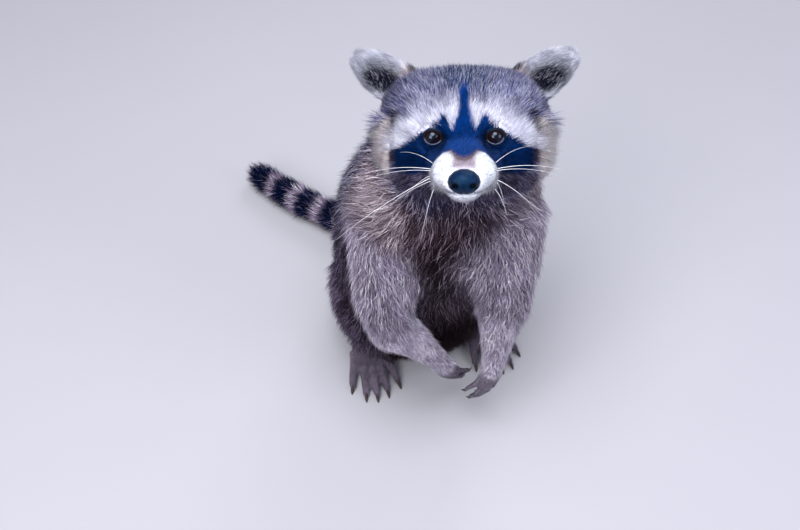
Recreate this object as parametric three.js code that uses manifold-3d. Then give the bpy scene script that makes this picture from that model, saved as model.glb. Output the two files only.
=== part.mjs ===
// A raccoon sitting up on its haunches, looking up, with its hands hanging in front and its tail laid out
// behind to its right. Each solid reaches to the tips of the coat. Millimetres, +Z up; the animal faces -Y,
// and the origin is the middle of the flat under its rump, on the floor. Left and right are the animal's own.
import * as THREE from "three";
import { mergeVertices } from "three/addons/utils/BufferGeometryUtils.js";
import Module from "manifold-3d";

const wasm = await Module();
wasm.setup();

// ---------- driving dimensions ----------
const GAP = 0.3; // clearance between neighbouring solids
const BODY_YAW = 15; // degrees that the chest is turned towards +X
const EYES_AT = [25, -95, 330]; // midpoint between the eyes
const HEAD_PITCH = 33; // degrees that the muzzle points above level
const HEAD_YAW = -3.2; // degrees that the muzzle is turned towards -X
const HEAD_ROLL = 1; // degrees that the left side of the head is lifted
const EYE_SPACING = 43.4;
const EYE_RADIUS = 7.6;
const SOCKET_RADIUS = 6.8; // of the opening in front of each eyeball
const NOSE_WIDTH = 22.4;
const NOSE_HEIGHT = 17.6;
const NOSE_REACH = 60; // from the eyes forward to the tip of the nose
const EAR_LENGTH = 45;
const EAR_HALF_WIDTH = 17;
const EAR_WALL = 3.2;
const TAIL_RADIUS = 18;
const FOREPAW_LENGTH = 51; // wrist to the tip of the longest finger, without the claw
const HINDPAW_LENGTH = 98; // heel to the tip of the longest toe, without the claw
const FOREPAW_CLAW = 8;
const HINDPAW_CLAW = 9;
const CLAW_LIFT = 0.8; // of a claw's root above the middle of its digit

// ---------- finishes ----------
const material = (color, roughness) => new THREE.MeshStandardMaterial({ color, roughness, metalness: 0 });
const GRIZZLED_FUR = material("#6f6470", 0.9);
const FACE_FUR = material("#8d8391", 0.9);
const WHITE_FUR = material("#e4e0ea", 0.9);
const TAIL_FUR = material("#3a3342", 0.9);
const PAW_SKIN = material("#4a444c", 0.7);
const NOSE_LEATHER = material("#15151c", 0.4);
const EYE_GLOSS = material("#2a1714", 0.1);
const CLAW_HORN = material("#2c2524", 0.4);

// ---------- solids from three.js geometry ----------
function solidOf(geometry) {
  const bare = geometry.clone();
  bare.deleteAttribute("normal");
  bare.deleteAttribute("uv");
  const merged = mergeVertices(bare, 1e-4);
  const mesh = new wasm.Mesh({
    numProp: 3,
    vertProperties: merged.attributes.position.array,
    triVerts: new Uint32Array(merged.index.array),
  });
  return new wasm.Manifold(mesh);
}

function geometryOf(solid) {
  const mesh = solid.getMesh();
  const geometry = new THREE.BufferGeometry();
  geometry.setAttribute("position", new THREE.BufferAttribute(new Float32Array(mesh.vertProperties), 3));
  geometry.setIndex(new THREE.BufferAttribute(new Uint32Array(mesh.triVerts), 1));
  geometry.computeVertexNormals();
  return geometry;
}

const joined = (solids) => solids.reduce((all, next) => all.add(next));
const carved = (solid, ...cutters) => cutters.reduce((rest, cutter) => rest.subtract(cutter), solid);

// A station on a form's spine: its point, the half-width across, and the half-depths on the two faces.
const station = (at, width, front, back = front) => ({ at: new THREE.Vector3(...at), width, front, back });

// A rounded closed form along a spine: a sphere whose rings are laid out on the stations' smooth curves.
// across is the direction of the width; front is the side that (spine direction x across) points to; blunt is
// how far the end caps stand out for their girth; squares holds how boxy the section is at each station, or
// one value for them all, where 2 is an ellipse.
function form(stations, { across = [1, 0, 0], sides, rings, capRings = 3, blunt = 0.8, squares = [2], grow = 0,
  frame = new THREE.Matrix4() }) {
  const spine = new THREE.CatmullRomCurve3(stations.map((s) => s.at));
  const sizes = new THREE.CatmullRomCurve3(stations.map((s) => new THREE.Vector3(s.width, s.front, s.back)));
  const total = rings + 2 * capRings;
  const geometry = new THREE.SphereGeometry(1, sides, total);
  const position = geometry.attributes.position;
  for (let ring = 0; ring <= total; ring++) {
    const t = THREE.MathUtils.clamp((ring - capRings) / rings, 0, 1);
    const size = sizes.getPoint(t).addScalar(grow);
    const place = t * (squares.length - 1);
    const square = THREE.MathUtils.lerp(squares[Math.floor(place)], squares[Math.ceil(place)], place % 1);
    const rounded = (value) => Math.sign(value) * Math.abs(value) ** (2 / square);
    const along = spine.getTangent(t);
    const wide = new THREE.Vector3(...across).projectOnPlane(along).normalize();
    const deep = new THREE.Vector3().crossVectors(along, wide);
    // past either end the ring runs over a cap, from full size at its foot to a point at the pole
    const fromStart = Math.max(0, capRings - ring) / capRings;
    const fromEnd = Math.max(0, ring - capRings - rings) / capRings;
    const capAngle = (Math.max(fromStart, fromEnd) * Math.PI) / 2;
    const shrink = Math.cos(capAngle);
    const reach = Math.sin(capAngle) * blunt * Math.min(size.x, (size.y + size.z) / 2);
    const centre = spine.getPoint(t).addScaledVector(along, fromStart > 0 ? -reach : reach);
    for (let side = 0; side <= sides; side++) {
      const angle = (side / sides) * 2 * Math.PI;
      const x = -rounded(Math.cos(angle)) * size.x * shrink;
      const z = rounded(Math.sin(angle)) * (Math.sin(angle) > 0 ? size.y : size.z) * shrink;
      const point = centre.clone().addScaledVector(wide, x).addScaledVector(deep, z).applyMatrix4(frame);
      position.setXYZ(ring * (sides + 1) + side, point.x, point.y, point.z);
    }
  }
  return solidOf(geometry);
}

function ellipsoid(centre, radii, { sides, rings }) {
  const geometry = new THREE.SphereGeometry(1, sides, rings);
  geometry.scale(...radii).translate(...centre);
  return solidOf(geometry);
}

// Everything on one side of a plane: a large box whose face lies on it. normal points into the box.
function halfSpace(point, normal, setBack = GAP / 2) {
  const size = 1000;
  const box = new THREE.BoxGeometry(size, size, size);
  const inward = new THREE.Vector3(...normal).normalize();
  box.translate(0, 0, size / 2 + setBack);
  box.applyQuaternion(new THREE.Quaternion().setFromUnitVectors(new THREE.Vector3(0, 0, 1), inward));
  box.translate(...point);
  return solidOf(box);
}

const ABOVE_FLOOR = halfSpace([0, 0, 0], [0, 0, 1], 0);
const onFloor = (solid) => solid.intersect(ABOVE_FLOOR);

// The two parts of a solid either side of a thin cut through a point; the first is the one normal points to.
function parted(solid, { point, normal }) {
  const reversed = normal.map((n) => -n);
  return [solid.intersect(halfSpace(point, normal)), solid.intersect(halfSpace(point, reversed))];
}

const degrees = THREE.MathUtils.degToRad;
const difference = (a, b) => a.map((value, i) => value - b[i]);
const between = (a, b, share) => a.map((value, i) => value + (b[i] - value) * share);

// ---------- frames ----------
const bodyFrame = new THREE.Matrix4().makeRotationZ(degrees(BODY_YAW));
const onBody = (x, y, z) => new THREE.Vector3(x, y, z).applyMatrix4(bodyFrame).toArray();

// In the head's frame +X is the animal's left, -Y is forward along the muzzle, +Z is up from the skull.
const headFrame = new THREE.Matrix4()
  .makeTranslation(...EYES_AT)
  .multiply(new THREE.Matrix4().makeRotationX(degrees(-HEAD_PITCH)))
  .multiply(new THREE.Matrix4().makeRotationZ(degrees(HEAD_YAW)))
  .multiply(new THREE.Matrix4().makeRotationY(degrees(-HEAD_ROLL)));

const SIDES = { left: 1, right: -1 };

// ---------- trunk and neck ----------
// One form from the rump to the ruff behind the cheeks, parted above the shoulders.
const torsoForm = (grow = 0) =>
  form(
    [
      station(onBody(-6, -2, 14), 54, 58, 58),
      station(onBody(-7, -5, 48), 70, 76, 74),
      station(onBody(-7, -13, 95), 77, 76, 80),
      station(onBody(-5, -25, 142), 81, 71, 79),
      station(onBody(-3, -37, 186), 82, 68, 74),
      station(onBody(1, -47, 222), 80, 62, 66),
      station(onBody(8, -54, 256), 76, 56, 55),
      station(onBody(10, -56, 288), 66, 47, 45),
    ],
    { across: onBody(1, 0, 0), sides: 21, rings: 12, blunt: 0.5, squares: [2.15], grow },
  );
const NECK_ROOT = { point: onBody(4, -50, 212), normal: onBody(0, -0.35, 1) };

// ---------- head ----------
// Head and muzzle are one form, parted in front of the eyes. Its stations run from the nape forward, so y
// falls; a station's front is its crown side, and the cheeks are widest low down.
const headForm = (grow = 0, frame) =>
  form(
    [
      station([0, 82, -14], 42, 40, 34),
      station([0, 60, -14], 58, 56, 40),
      station([0, 37, -17], 65, 62, 38),
      station([0, 18, -18], 61, 53, 34),
      station([0, 4, -18], 48, 38, 28),
      station([0, -9, -18], 31, 22, 20),
      station([0, -22, -19], 24.5, 17, 15.5),
      station([0, -36, -21], 22.8, 15, 13.5),
      station([0, -47, -22], 16.5, 11, 11),
    ],
    {
      sides: 20,
      rings: 16,
      capRings: 2,
      blunt: 0.6,
      squares: [2.3, 2.7, 3, 2.8, 2.4, 2.1, 2, 2, 2],
      grow,
      frame,
    },
  );
const MUZZLE_ROOT = { point: [0, -12, -17], normal: [0, -1, 0] };

const jawForm = (grow = 0, frame) =>
  form(
    [
      station([0, 10, -36], 20, 9, 11),
      station([0, -12, -34], 16.5, 8, 8),
      station([0, -30, -33], 14, 7, 7),
      station([0, -42, -32.5], 10.5, 5.5, 6.2),
    ],
    { sides: 12, rings: 4, capRings: 2, grow, frame },
  );

const noseForm = (grow = 0) =>
  ellipsoid([0, -NOSE_REACH + 9, -22], [NOSE_WIDTH / 2 + grow, 9 + grow, NOSE_HEIGHT / 2 + grow],
    { sides: 14, rings: 8 });

const nostril = (side) =>
  ellipsoid([side * 5.8, -NOSE_REACH + 1.5, -23.6], [2.5, 4, 2], { sides: 6, rings: 4 });

const eyeCentre = (side) => [(side * EYE_SPACING) / 2, 2.5, -1.5];
const EYE_LOOK = [0.08, -0.99, 0.1]; // out of the left socket
const eyeball = (side, grow = 0) =>
  ellipsoid(eyeCentre(side), Array(3).fill(EYE_RADIUS + grow), { sides: 10, rings: 7 });

// A socket is the eyeball's own room and the shallow opening in front of it.
function socket(side) {
  const look = [side * EYE_LOOK[0], EYE_LOOK[1], EYE_LOOK[2]];
  const opening = eyeCentre(side).map((value, i) => value + look[i] * EYE_RADIUS);
  return eyeball(side, GAP).add(ellipsoid(opening, Array(3).fill(SOCKET_RADIUS), { sides: 8, rings: 5 }));
}

// The ear is a rounded leaf with its cup scooped out of the forward face.
const EAR_ROOT = [43, 45, 25];
const EAR_LEAN = [0.829, 0.06, 0.561]; // from the root to the tip, for the left ear
const earAcross = (side) => [side * 0.53, -0.31, -0.75]; // towards the ear's outer edge
const EAR_CUP = { depth: 5.5, start: 0.28 }; // how far forward of the ear's middle it lies, and where it begins

function earForm(side, inset = 0) {
  const forward = inset > 0 ? EAR_CUP.depth : 0;
  const start = inset > 0 ? EAR_CUP.start : 0;
  const end = 0.86 - inset / EAR_LENGTH;
  const at = (share) => {
    const [x, y, z] = EAR_ROOT.map((root, i) => root + EAR_LEAN[i] * EAR_LENGTH * share);
    return [side * x, y - forward, z];
  };
  const wide = (share) => EAR_HALF_WIDTH * share - inset;
  return form(
    [
      station(at(start), wide(1.08), 8),
      station(at(0.4), wide(0.97), 6.6),
      station(at(0.68), wide(0.82), 5.2),
      station(at(end), wide(0.6), 4.2),
    ],
    { across: earAcross(side), sides: 12, rings: 4, capRings: 2, blunt: 1.6 },
  );
}

// ---------- arms ----------
// The whole arm is one form, parted at the elbow; every paw adds its own digits. reach is where the hand
// points from the wrist, and back is where the back of the hand faces.
const ARMS = {
  right: {
    shoulder: [-28, -62, 222],
    elbow: [-31, -122, 154],
    wrist: [17, -117, 82],
    reach: [32, -109, 36],
    back: [-0.25, -0.8, 0.5],
  },
  left: {
    shoulder: [61, -66, 222],
    elbow: [64, -106, 152],
    wrist: [59, -125, 88],
    reach: [51, -132, 45],
    back: [0.38, -0.8, 0.45],
  },
};

const armForm = ({ shoulder, elbow, wrist }, grow = 0) =>
  form(
    [
      station(shoulder, 38, 38),
      station(between(shoulder, elbow, 0.5), 34, 35),
      station(elbow, 24, 24),
      station(between(elbow, wrist, 0.5), 16, 15),
      station(wrist, 10.5, 9),
    ],
    { sides: 12, rings: 7, capRings: 2, grow },
  );

// ---------- legs ----------
const leg = (side) => ({
  hip: onBody(side * 42 - 6, 8, 62),
  knee: onBody(side * 56 - 5, -60, 76),
  heel: onBody(side * 52 - 4, 10, 16),
});

const thighForm = ({ hip, knee }, grow = 0) =>
  form([station(hip, 41, 54, 54), station(between(hip, knee, 0.5), 37, 46, 46), station(knee, 25, 28, 31)],
    { across: onBody(1, 0, 0), sides: 14, rings: 4, capRings: 2, grow });

const shankForm = ({ knee, heel }, grow = 0) =>
  form([station(knee, 19, 20), station(between(knee, heel, 0.5), 21, 22), station(heel, 18, 16)],
    { across: onBody(1, 0, 0), sides: 10, rings: 3, capRings: 2, grow });

// ---------- paws ----------
// A paw's own frame: +Y towards the tips of the digits, +Z out of its back, +X towards the fifth digit.
const FOREPAW = {
  length: FOREPAW_LENGTH,
  palm: [station([0, -4, 0], 9.5, 7.5), station([0, 10, 0], 9.6, 6.5), station([0, 22, -0.5], 9.4, 5)],
  digitRadius: 2.5,
  digitRings: 3,
  claw: FOREPAW_CLAW,
  curl: 48,
  digits: [
    { x: -8, root: 7, share: 0.66, splay: 13, curl: 34 },
    { x: -5.2, root: 17, share: 0.97, splay: 0, curl: 40 },
    { x: -0.5, root: 20, share: 1, splay: 0 },
    { x: 4.2, root: 19, share: 0.96, splay: 1, curl: 54 },
    { x: 7.6, root: 13, share: 0.84, splay: 3, curl: 46 },
  ],
};
const HINDPAW = {
  length: HINDPAW_LENGTH,
  palm: [
    station([0, 8, 1], 14, 11, 14),
    station([0, 30, 0], 14.5, 10, 14),
    station([0, 52, -2], 17, 8.5, 14),
    station([0, 66, -4], 17, 7, 14),
  ],
  digitRadius: 4.2,
  digitRings: 2,
  claw: HINDPAW_CLAW,
  curl: 20,
  digits: [
    { x: -14, root: 50, share: 0.88, splay: 12 },
    { x: -7.5, root: 62, share: 0.98, splay: 5 },
    { x: -0.5, root: 64, share: 1, splay: 0 },
    { x: 6.8, root: 62, share: 0.97, splay: -5 },
    { x: 13.5, root: 54, share: 0.9, splay: -13 },
  ],
};

function pawFrame(origin, towards, back) {
  const y = new THREE.Vector3(...towards).normalize();
  const z = new THREE.Vector3(...back).projectOnPlane(y).normalize();
  const x = new THREE.Vector3().crossVectors(y, z);
  return new THREE.Matrix4().makeBasis(x, y, z).setPosition(...origin);
}

// The run of a digit: it leaves the palm at its splay and curls down towards its tip.
function digitPath(paw, { x, root, share, splay, curl = paw.curl }, side) {
  const length = paw.length * share - root;
  const bend = degrees(curl);
  const points = [0, 0.36, 0.7, 1].map((part) => {
    const drop = length * (1 - Math.cos(bend * part)) / bend;
    const run = length * Math.sin(bend * part) / bend;
    return [side * (x - run * Math.sin(degrees(splay))), root + run * Math.cos(degrees(splay)), -drop];
  });
  const tip = points.at(-1);
  const heading = difference(tip, points.at(-2));
  return { points, tip, heading: new THREE.Vector3(...heading).normalize() };
}

function digitForm(paw, digit, side, frame, grow = 0) {
  const { points } = digitPath(paw, digit, side);
  const girths = [1.1, 1, 1, 0.82].map((share) => paw.digitRadius * share);
  const stations = points.map((at, i) => station(at, girths[i], girths[i]));
  return form(stations, { sides: 6, rings: paw.digitRings, capRings: 1, blunt: 0.9, grow, frame });
}

function clawForm(paw, digit, side, frame) {
  const { tip, heading } = digitPath(paw, digit, side);
  const at = (share, drop) => {
    const point = new THREE.Vector3(...tip).addScaledVector(heading, paw.claw * share);
    return [point.x, point.y, point.z + CLAW_LIFT - drop];
  };
  const girth = paw.digitRadius * 0.46;
  return form(
    [
      station(at(-0.1, 0), girth, girth * 1.2),
      station(at(0.55, 0.3), girth * 0.8, girth),
      station(at(1, 2.2), girth * 0.25, girth * 0.25),
    ],
    { sides: 4, rings: 2, capRings: 1, frame },
  );
}

const palmForm = (paw, side, frame, grow = 0) =>
  form(paw.palm.map((s) => ({ ...s, at: s.at.clone().setX(side * s.at.x) })),
    { sides: 8, rings: 3, capRings: 2, blunt: 0.5, grow, frame });

const pawSolid = (paw, side, frame, grow = 0) =>
  joined([palmForm(paw, side, frame, grow), ...paw.digits.map((d) => digitForm(paw, d, side, frame, grow))]);

// ---------- tail ----------
// It leaves the back of the rump, lies on the floor and swings out to the animal's right.
const TAIL_PATH = [[-18, 50, 30], [-44, 86, 23], [-84, 112, 18], [-128, 141, 16.5], [-166, 172, 16.5]];
const TAIL_GIRTHS = [1, 1, 0.98, 0.98, 0.88];
const TAIL_CUTS = [1.45, 2.75]; // places along the path's points where it is parted

const tailForm = () =>
  form(TAIL_PATH.map((at, i) => station(at, TAIL_RADIUS * TAIL_GIRTHS[i], TAIL_RADIUS * TAIL_GIRTHS[i])),
    { across: [0, 0, 1], sides: 12, rings: 10, capRings: 3, blunt: 1.1 });

function tailCut(place) {
  const spine = new THREE.CatmullRomCurve3(TAIL_PATH.map((at) => new THREE.Vector3(...at)));
  const t = place / (TAIL_PATH.length - 1);
  return { point: spine.getPoint(t).toArray(), normal: spine.getTangent(t).toArray() };
}

// ---------- assembly ----------
const raccoon = new THREE.Group();
const head = new THREE.Group();
head.applyMatrix4(headFrame);
raccoon.add(head);

function add(name, solid, finish, group = raccoon) {
  const mesh = new THREE.Mesh(geometryOf(solid), finish);
  mesh.name = name;
  group.add(mesh);
}

function addHead() {
  const sockets = Object.values(SIDES).map(socket);
  const [front, back] = parted(headForm(), MUZZLE_ROOT);
  add("head", carved(back, ...sockets), FACE_FUR, head);
  add("muzzle", carved(front, noseForm(GAP), ...sockets), WHITE_FUR, head);
  add("lower_jaw", carved(jawForm(), headForm(GAP), noseForm(GAP)), WHITE_FUR, head);
  add("nose", carved(noseForm(), nostril(1), nostril(-1)), NOSE_LEATHER, head);
  for (const [label, side] of Object.entries(SIDES)) {
    add(`eye_${label}`, eyeball(side), EYE_GLOSS, head);
    add(`ear_${label}`, carved(earForm(side), earForm(side, EAR_WALL), headForm(GAP)), FACE_FUR, head);
  }
}

function addTorso() {
  const [neck, trunk] = parted(onFloor(torsoForm()), NECK_ROOT);
  add("trunk", trunk, GRIZZLED_FUR);
  add("neck", carved(neck, headForm(GAP, headFrame), jawForm(GAP, headFrame)), GRIZZLED_FUR);
}

function addPaw(name, paw, side, frame, neighbours) {
  add(name, onFloor(carved(pawSolid(paw, side, frame), ...neighbours)), PAW_SKIN);
  const room = pawSolid(paw, side, frame, GAP);
  paw.digits.forEach((digit, i) => {
    const claw = carved(clawForm(paw, digit, side, frame), room);
    add(`${name.replace("_", "_claw_")}_${i + 1}`, onFloor(claw), CLAW_HORN);
  });
}

function addArm(label, side) {
  const arm = ARMS[label];
  const whole = carved(armForm(arm), torsoForm(GAP), headForm(GAP, headFrame));
  const [forearm, upperArm] = parted(whole, { point: arm.elbow, normal: difference(arm.wrist, arm.shoulder) });
  add(`upper_arm_${label}`, upperArm, GRIZZLED_FUR);
  add(`forearm_${label}`, forearm, GRIZZLED_FUR);
  const frame = pawFrame(arm.wrist, difference(arm.reach, arm.wrist), arm.back);
  addPaw(`hand_${label}`, FOREPAW, -side, frame, [armForm(arm, GAP)]);
}

function addLeg(label, side) {
  const joints = leg(side);
  const foot = pawFrame(onBody(side * 52 - 4, 16, 9), onBody(side * 0.08, -1, 0), [0, 0, 1]);
  const above = [torsoForm(GAP), thighForm(joints, GAP)];
  add(`thigh_${label}`, onFloor(carved(thighForm(joints), torsoForm(GAP))), GRIZZLED_FUR);
  add(`shank_${label}`, onFloor(carved(shankForm(joints), ...above)), GRIZZLED_FUR);
  addPaw(`foot_${label}`, HINDPAW, side, foot, [...above, shankForm(joints, GAP)]);
}

function addTail() {
  const whole = onFloor(carved(tailForm(), torsoForm(GAP)));
  const [beyond, base] = parted(whole, tailCut(TAIL_CUTS[0]));
  const [tip, middle] = parted(beyond, tailCut(TAIL_CUTS[1]));
  add("tail_base", base, TAIL_FUR);
  add("tail_middle", middle, TAIL_FUR);
  add("tail_tip", tip, TAIL_FUR);
}

addHead();
addTorso();
addTail();
for (const [label, side] of Object.entries(SIDES)) {
  addArm(label, side);
  addLeg(label, side);
}

export default raccoon;
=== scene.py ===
"""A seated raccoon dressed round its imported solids: one skin, eyes, nose, claws, whiskers and a coat of tufts.

Metres, +Z up. The animal faces -Y, and left and right are its own. Landmarks of its body are in millimetres,
in the world or in the head's frame, where -Y runs forward along the muzzle and +Z is up from the skull.
"""

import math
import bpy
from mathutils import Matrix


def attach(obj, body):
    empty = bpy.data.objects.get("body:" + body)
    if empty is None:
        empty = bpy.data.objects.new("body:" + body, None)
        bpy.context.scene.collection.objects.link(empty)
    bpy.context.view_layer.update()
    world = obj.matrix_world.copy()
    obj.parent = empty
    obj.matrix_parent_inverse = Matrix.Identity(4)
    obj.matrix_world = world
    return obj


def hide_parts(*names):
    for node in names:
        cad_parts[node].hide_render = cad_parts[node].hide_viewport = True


bl_info = {
    "name": "Seated raccoon",
    "version": (1, 0, 0),
    "blender": (4, 5, 0),
    "location": "View3D > Sidebar > Raccoon",
    "description": "The skin, eyes, claws, whiskers and coat of a life-size seated raccoon",
    "category": "Object",
}

from collections import namedtuple

import bmesh
import bpy
import numpy as np
from bpy.props import FloatProperty, FloatVectorProperty, PointerProperty
from mathutils import Matrix, Vector
from mathutils.bvhtree import BVHTree
from mathutils.kdtree import KDTree

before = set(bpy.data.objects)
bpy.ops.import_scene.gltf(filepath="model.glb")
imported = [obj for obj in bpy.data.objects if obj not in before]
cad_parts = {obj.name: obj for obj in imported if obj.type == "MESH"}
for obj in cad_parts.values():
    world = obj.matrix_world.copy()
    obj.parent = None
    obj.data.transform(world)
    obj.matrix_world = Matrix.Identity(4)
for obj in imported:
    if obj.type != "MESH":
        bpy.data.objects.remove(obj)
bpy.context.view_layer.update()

MM = 0.001
SEED = 11

# ---------- the animal's frames and landmarks, in millimetres ----------


def turned(degrees, axis):
    return Matrix.Rotation(math.radians(degrees), 4, axis)


BODY_FRAME = turned(15, "Z")
HEAD_FRAME = Matrix.Translation((25, -95, 330)) @ turned(-33, "X") @ turned(-3.2, "Z") @ turned(-1, "Y")
SIDES = {"left": 1, "right": -1}

EYE_CENTRE = (21.7, 2.5, -1.5)  # of the left eye, in the head's frame
EYE_LOOK = (0.08, -0.99, 0.1)
EYE_RADIUS = 7.6
NOSE_CENTRE = (0, -51, -22)
NOSE_RADII = (11.2, 9, 8.8)
EAR_ROOT = (43, 45, 25)
EAR_LEAN = (0.829, 0.06, 0.561)
EAR_ACROSS = (0.53, -0.31, -0.75)
EAR_LENGTH = 45
EAR_HALF_WIDTH = 17
ARMS = {
    "right": [(-28, -62, 222), (-31, -122, 154), (17, -117, 82), (32, -109, 36)],
    "left": [(61, -66, 222), (64, -106, 152), (59, -125, 88), (51, -132, 45)],
}
HAND_BACKS = {"right": (-0.25, -0.8, 0.5), "left": (0.38, -0.8, 0.45)}  # out of the back of each hand
SPINE = [(8, -54, 300), (1, -47, 222), (-5, -25, 142), (-7, -5, 48), (-6, -2, 0)]  # in the body's frame
TAIL_PATH = [(-18, 50, 30), (-44, 86, 23), (-84, 112, 18), (-128, 141, 16.5), (-166, 172, 16.5), (-181, 184, 16.5)]


def leg_path(side):
    """Hip, knee, heel and toes, in the body's frame."""
    hip, knee = (side * 42 - 6, 8, 62), (side * 56 - 5, -60, 76)
    return [hip, knee, (side * 52 - 4, 10, 16), (side * 60 - 4, -82, 9)]


def placed(points, matrix):
    """Points moved out of a frame, as an array."""
    spot = np.array(matrix)
    return np.asarray(points, float) @ spot[:3, :3].T + spot[:3, 3]


def turned_by(vectors, matrix):
    return np.asarray(vectors, float) @ np.array(matrix)[:3, :3].T


def within(points, matrix):
    """World points in metres, as millimetres in a frame."""
    return placed(np.asarray(points) / MM, matrix.inverted())


def mirrored(place, side):
    """A place or a direction given for the left side, as it is on the side asked for."""
    return np.array(place) * [side, 1, 1]


# ---------- small arithmetic on arrays ----------


def unit(vectors):
    return vectors / np.maximum(np.linalg.norm(vectors, axis=-1, keepdims=True), 1e-9)


def ease(value, low, high):
    """0 below low, 1 above high and smooth between; low may be the larger."""
    share = np.clip((value - low) / (high - low), 0, 1)
    return share * share * (3 - 2 * share)


def bell(*terms):
    """1 in the middle of a soft dent and near 0 outside it, from its (places, middle, width) in each direction."""
    return np.exp(-sum(((places - middle) / width) ** 2 for places, middle, width in terms))


def mixed(values, share, new):
    """Values with a share of new ones in their place."""
    share = np.clip(share, 0, 1)[:, None]
    return values * (1 - share) + new * share


def columns(*parts):
    """Vectors from their parts, each an array or one number for all."""
    return np.stack(np.broadcast_arrays(*parts), axis=1)


def flattened(vectors, normals):
    """Directions laid into the surface."""
    return unit(vectors - normals * np.sum(vectors * normals, axis=1, keepdims=True))


def path_field(points, path):
    """For each point the direction of the nearest stretch of a path, its distance and how far along it lies."""
    path = np.asarray(path, float)
    steps = path[1:] - path[:-1]
    lengths = np.linalg.norm(steps, axis=1)
    starts = np.concatenate([[0], np.cumsum(lengths)[:-1]])
    total, weights, along = np.zeros_like(points), np.zeros(len(points)), np.zeros(len(points))
    nearest = np.full(len(points), np.inf)
    for start, step, length, run in zip(path, steps, lengths, starts):
        share = np.clip((points - start) @ step / length**2, 0, 1)
        gap = np.linalg.norm(points - start - share[:, None] * step, axis=1)
        weight = 1 / (gap**4 + 1)
        total += weight[:, None] * step / length
        along = np.where(gap < nearest, run + share * length, along)
        nearest = np.minimum(nearest, gap)
        weights += weight
    return unit(total / weights[:, None]), nearest, along


def on_left_arm(points):
    """True where the left arm is nearer than the right one, for world places in millimetres."""
    return path_field(points, ARMS["left"])[1] < path_field(points, ARMS["right"])[1]


def scaled(rgb, share):
    return np.array(rgb) * share


def opaque(rgb):
    return (*rgb, 1.0)


def colour(text):
    """An sRGB hex colour as linear red, green and blue."""
    parts = [int(text[i : i + 2], 16) / 255 for i in (1, 3, 5)]
    return tuple(p / 12.92 if p <= 0.04045 else ((p + 0.055) / 1.055) ** 2.4 for p in parts)


# ---------- sizes and colours that a user would change ----------


def length(name, description, millimetres):
    return FloatProperty(name=name, description=description, default=millimetres * MM, unit="LENGTH", precision=5)


def tint(name, description, text):
    return FloatVectorProperty(
        name=name, description=description, default=colour(text), subtype="COLOR", min=0, max=1
    )


class RaccoonSizes(bpy.types.PropertyGroup):
    voxel: length("Skin detail", "Edge of the cells that the skin is made of", 1.3)
    lid_thickness: length("Lid thickness", "How far an eyelid stands off the eyeball", 1.0)
    eye_width: length("Eye opening width", "Width of the opening between the lids", 11.6)
    eye_height: length("Eye opening height", "Height of the opening between the lids", 9.4)
    coat_length: FloatProperty(name="Coat length", description="Share of each tuft's own length", default=1)
    coat_density: FloatProperty(name="Coat density", description="Share of each region's own count", default=1)
    coat_ruffle: FloatProperty(name="Coat ruffle", description="How far tufts wander from the lie", default=1)
    whisker_girth: length("Whisker girth", "Thickness of a whisker at its root", 0.4)


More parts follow.
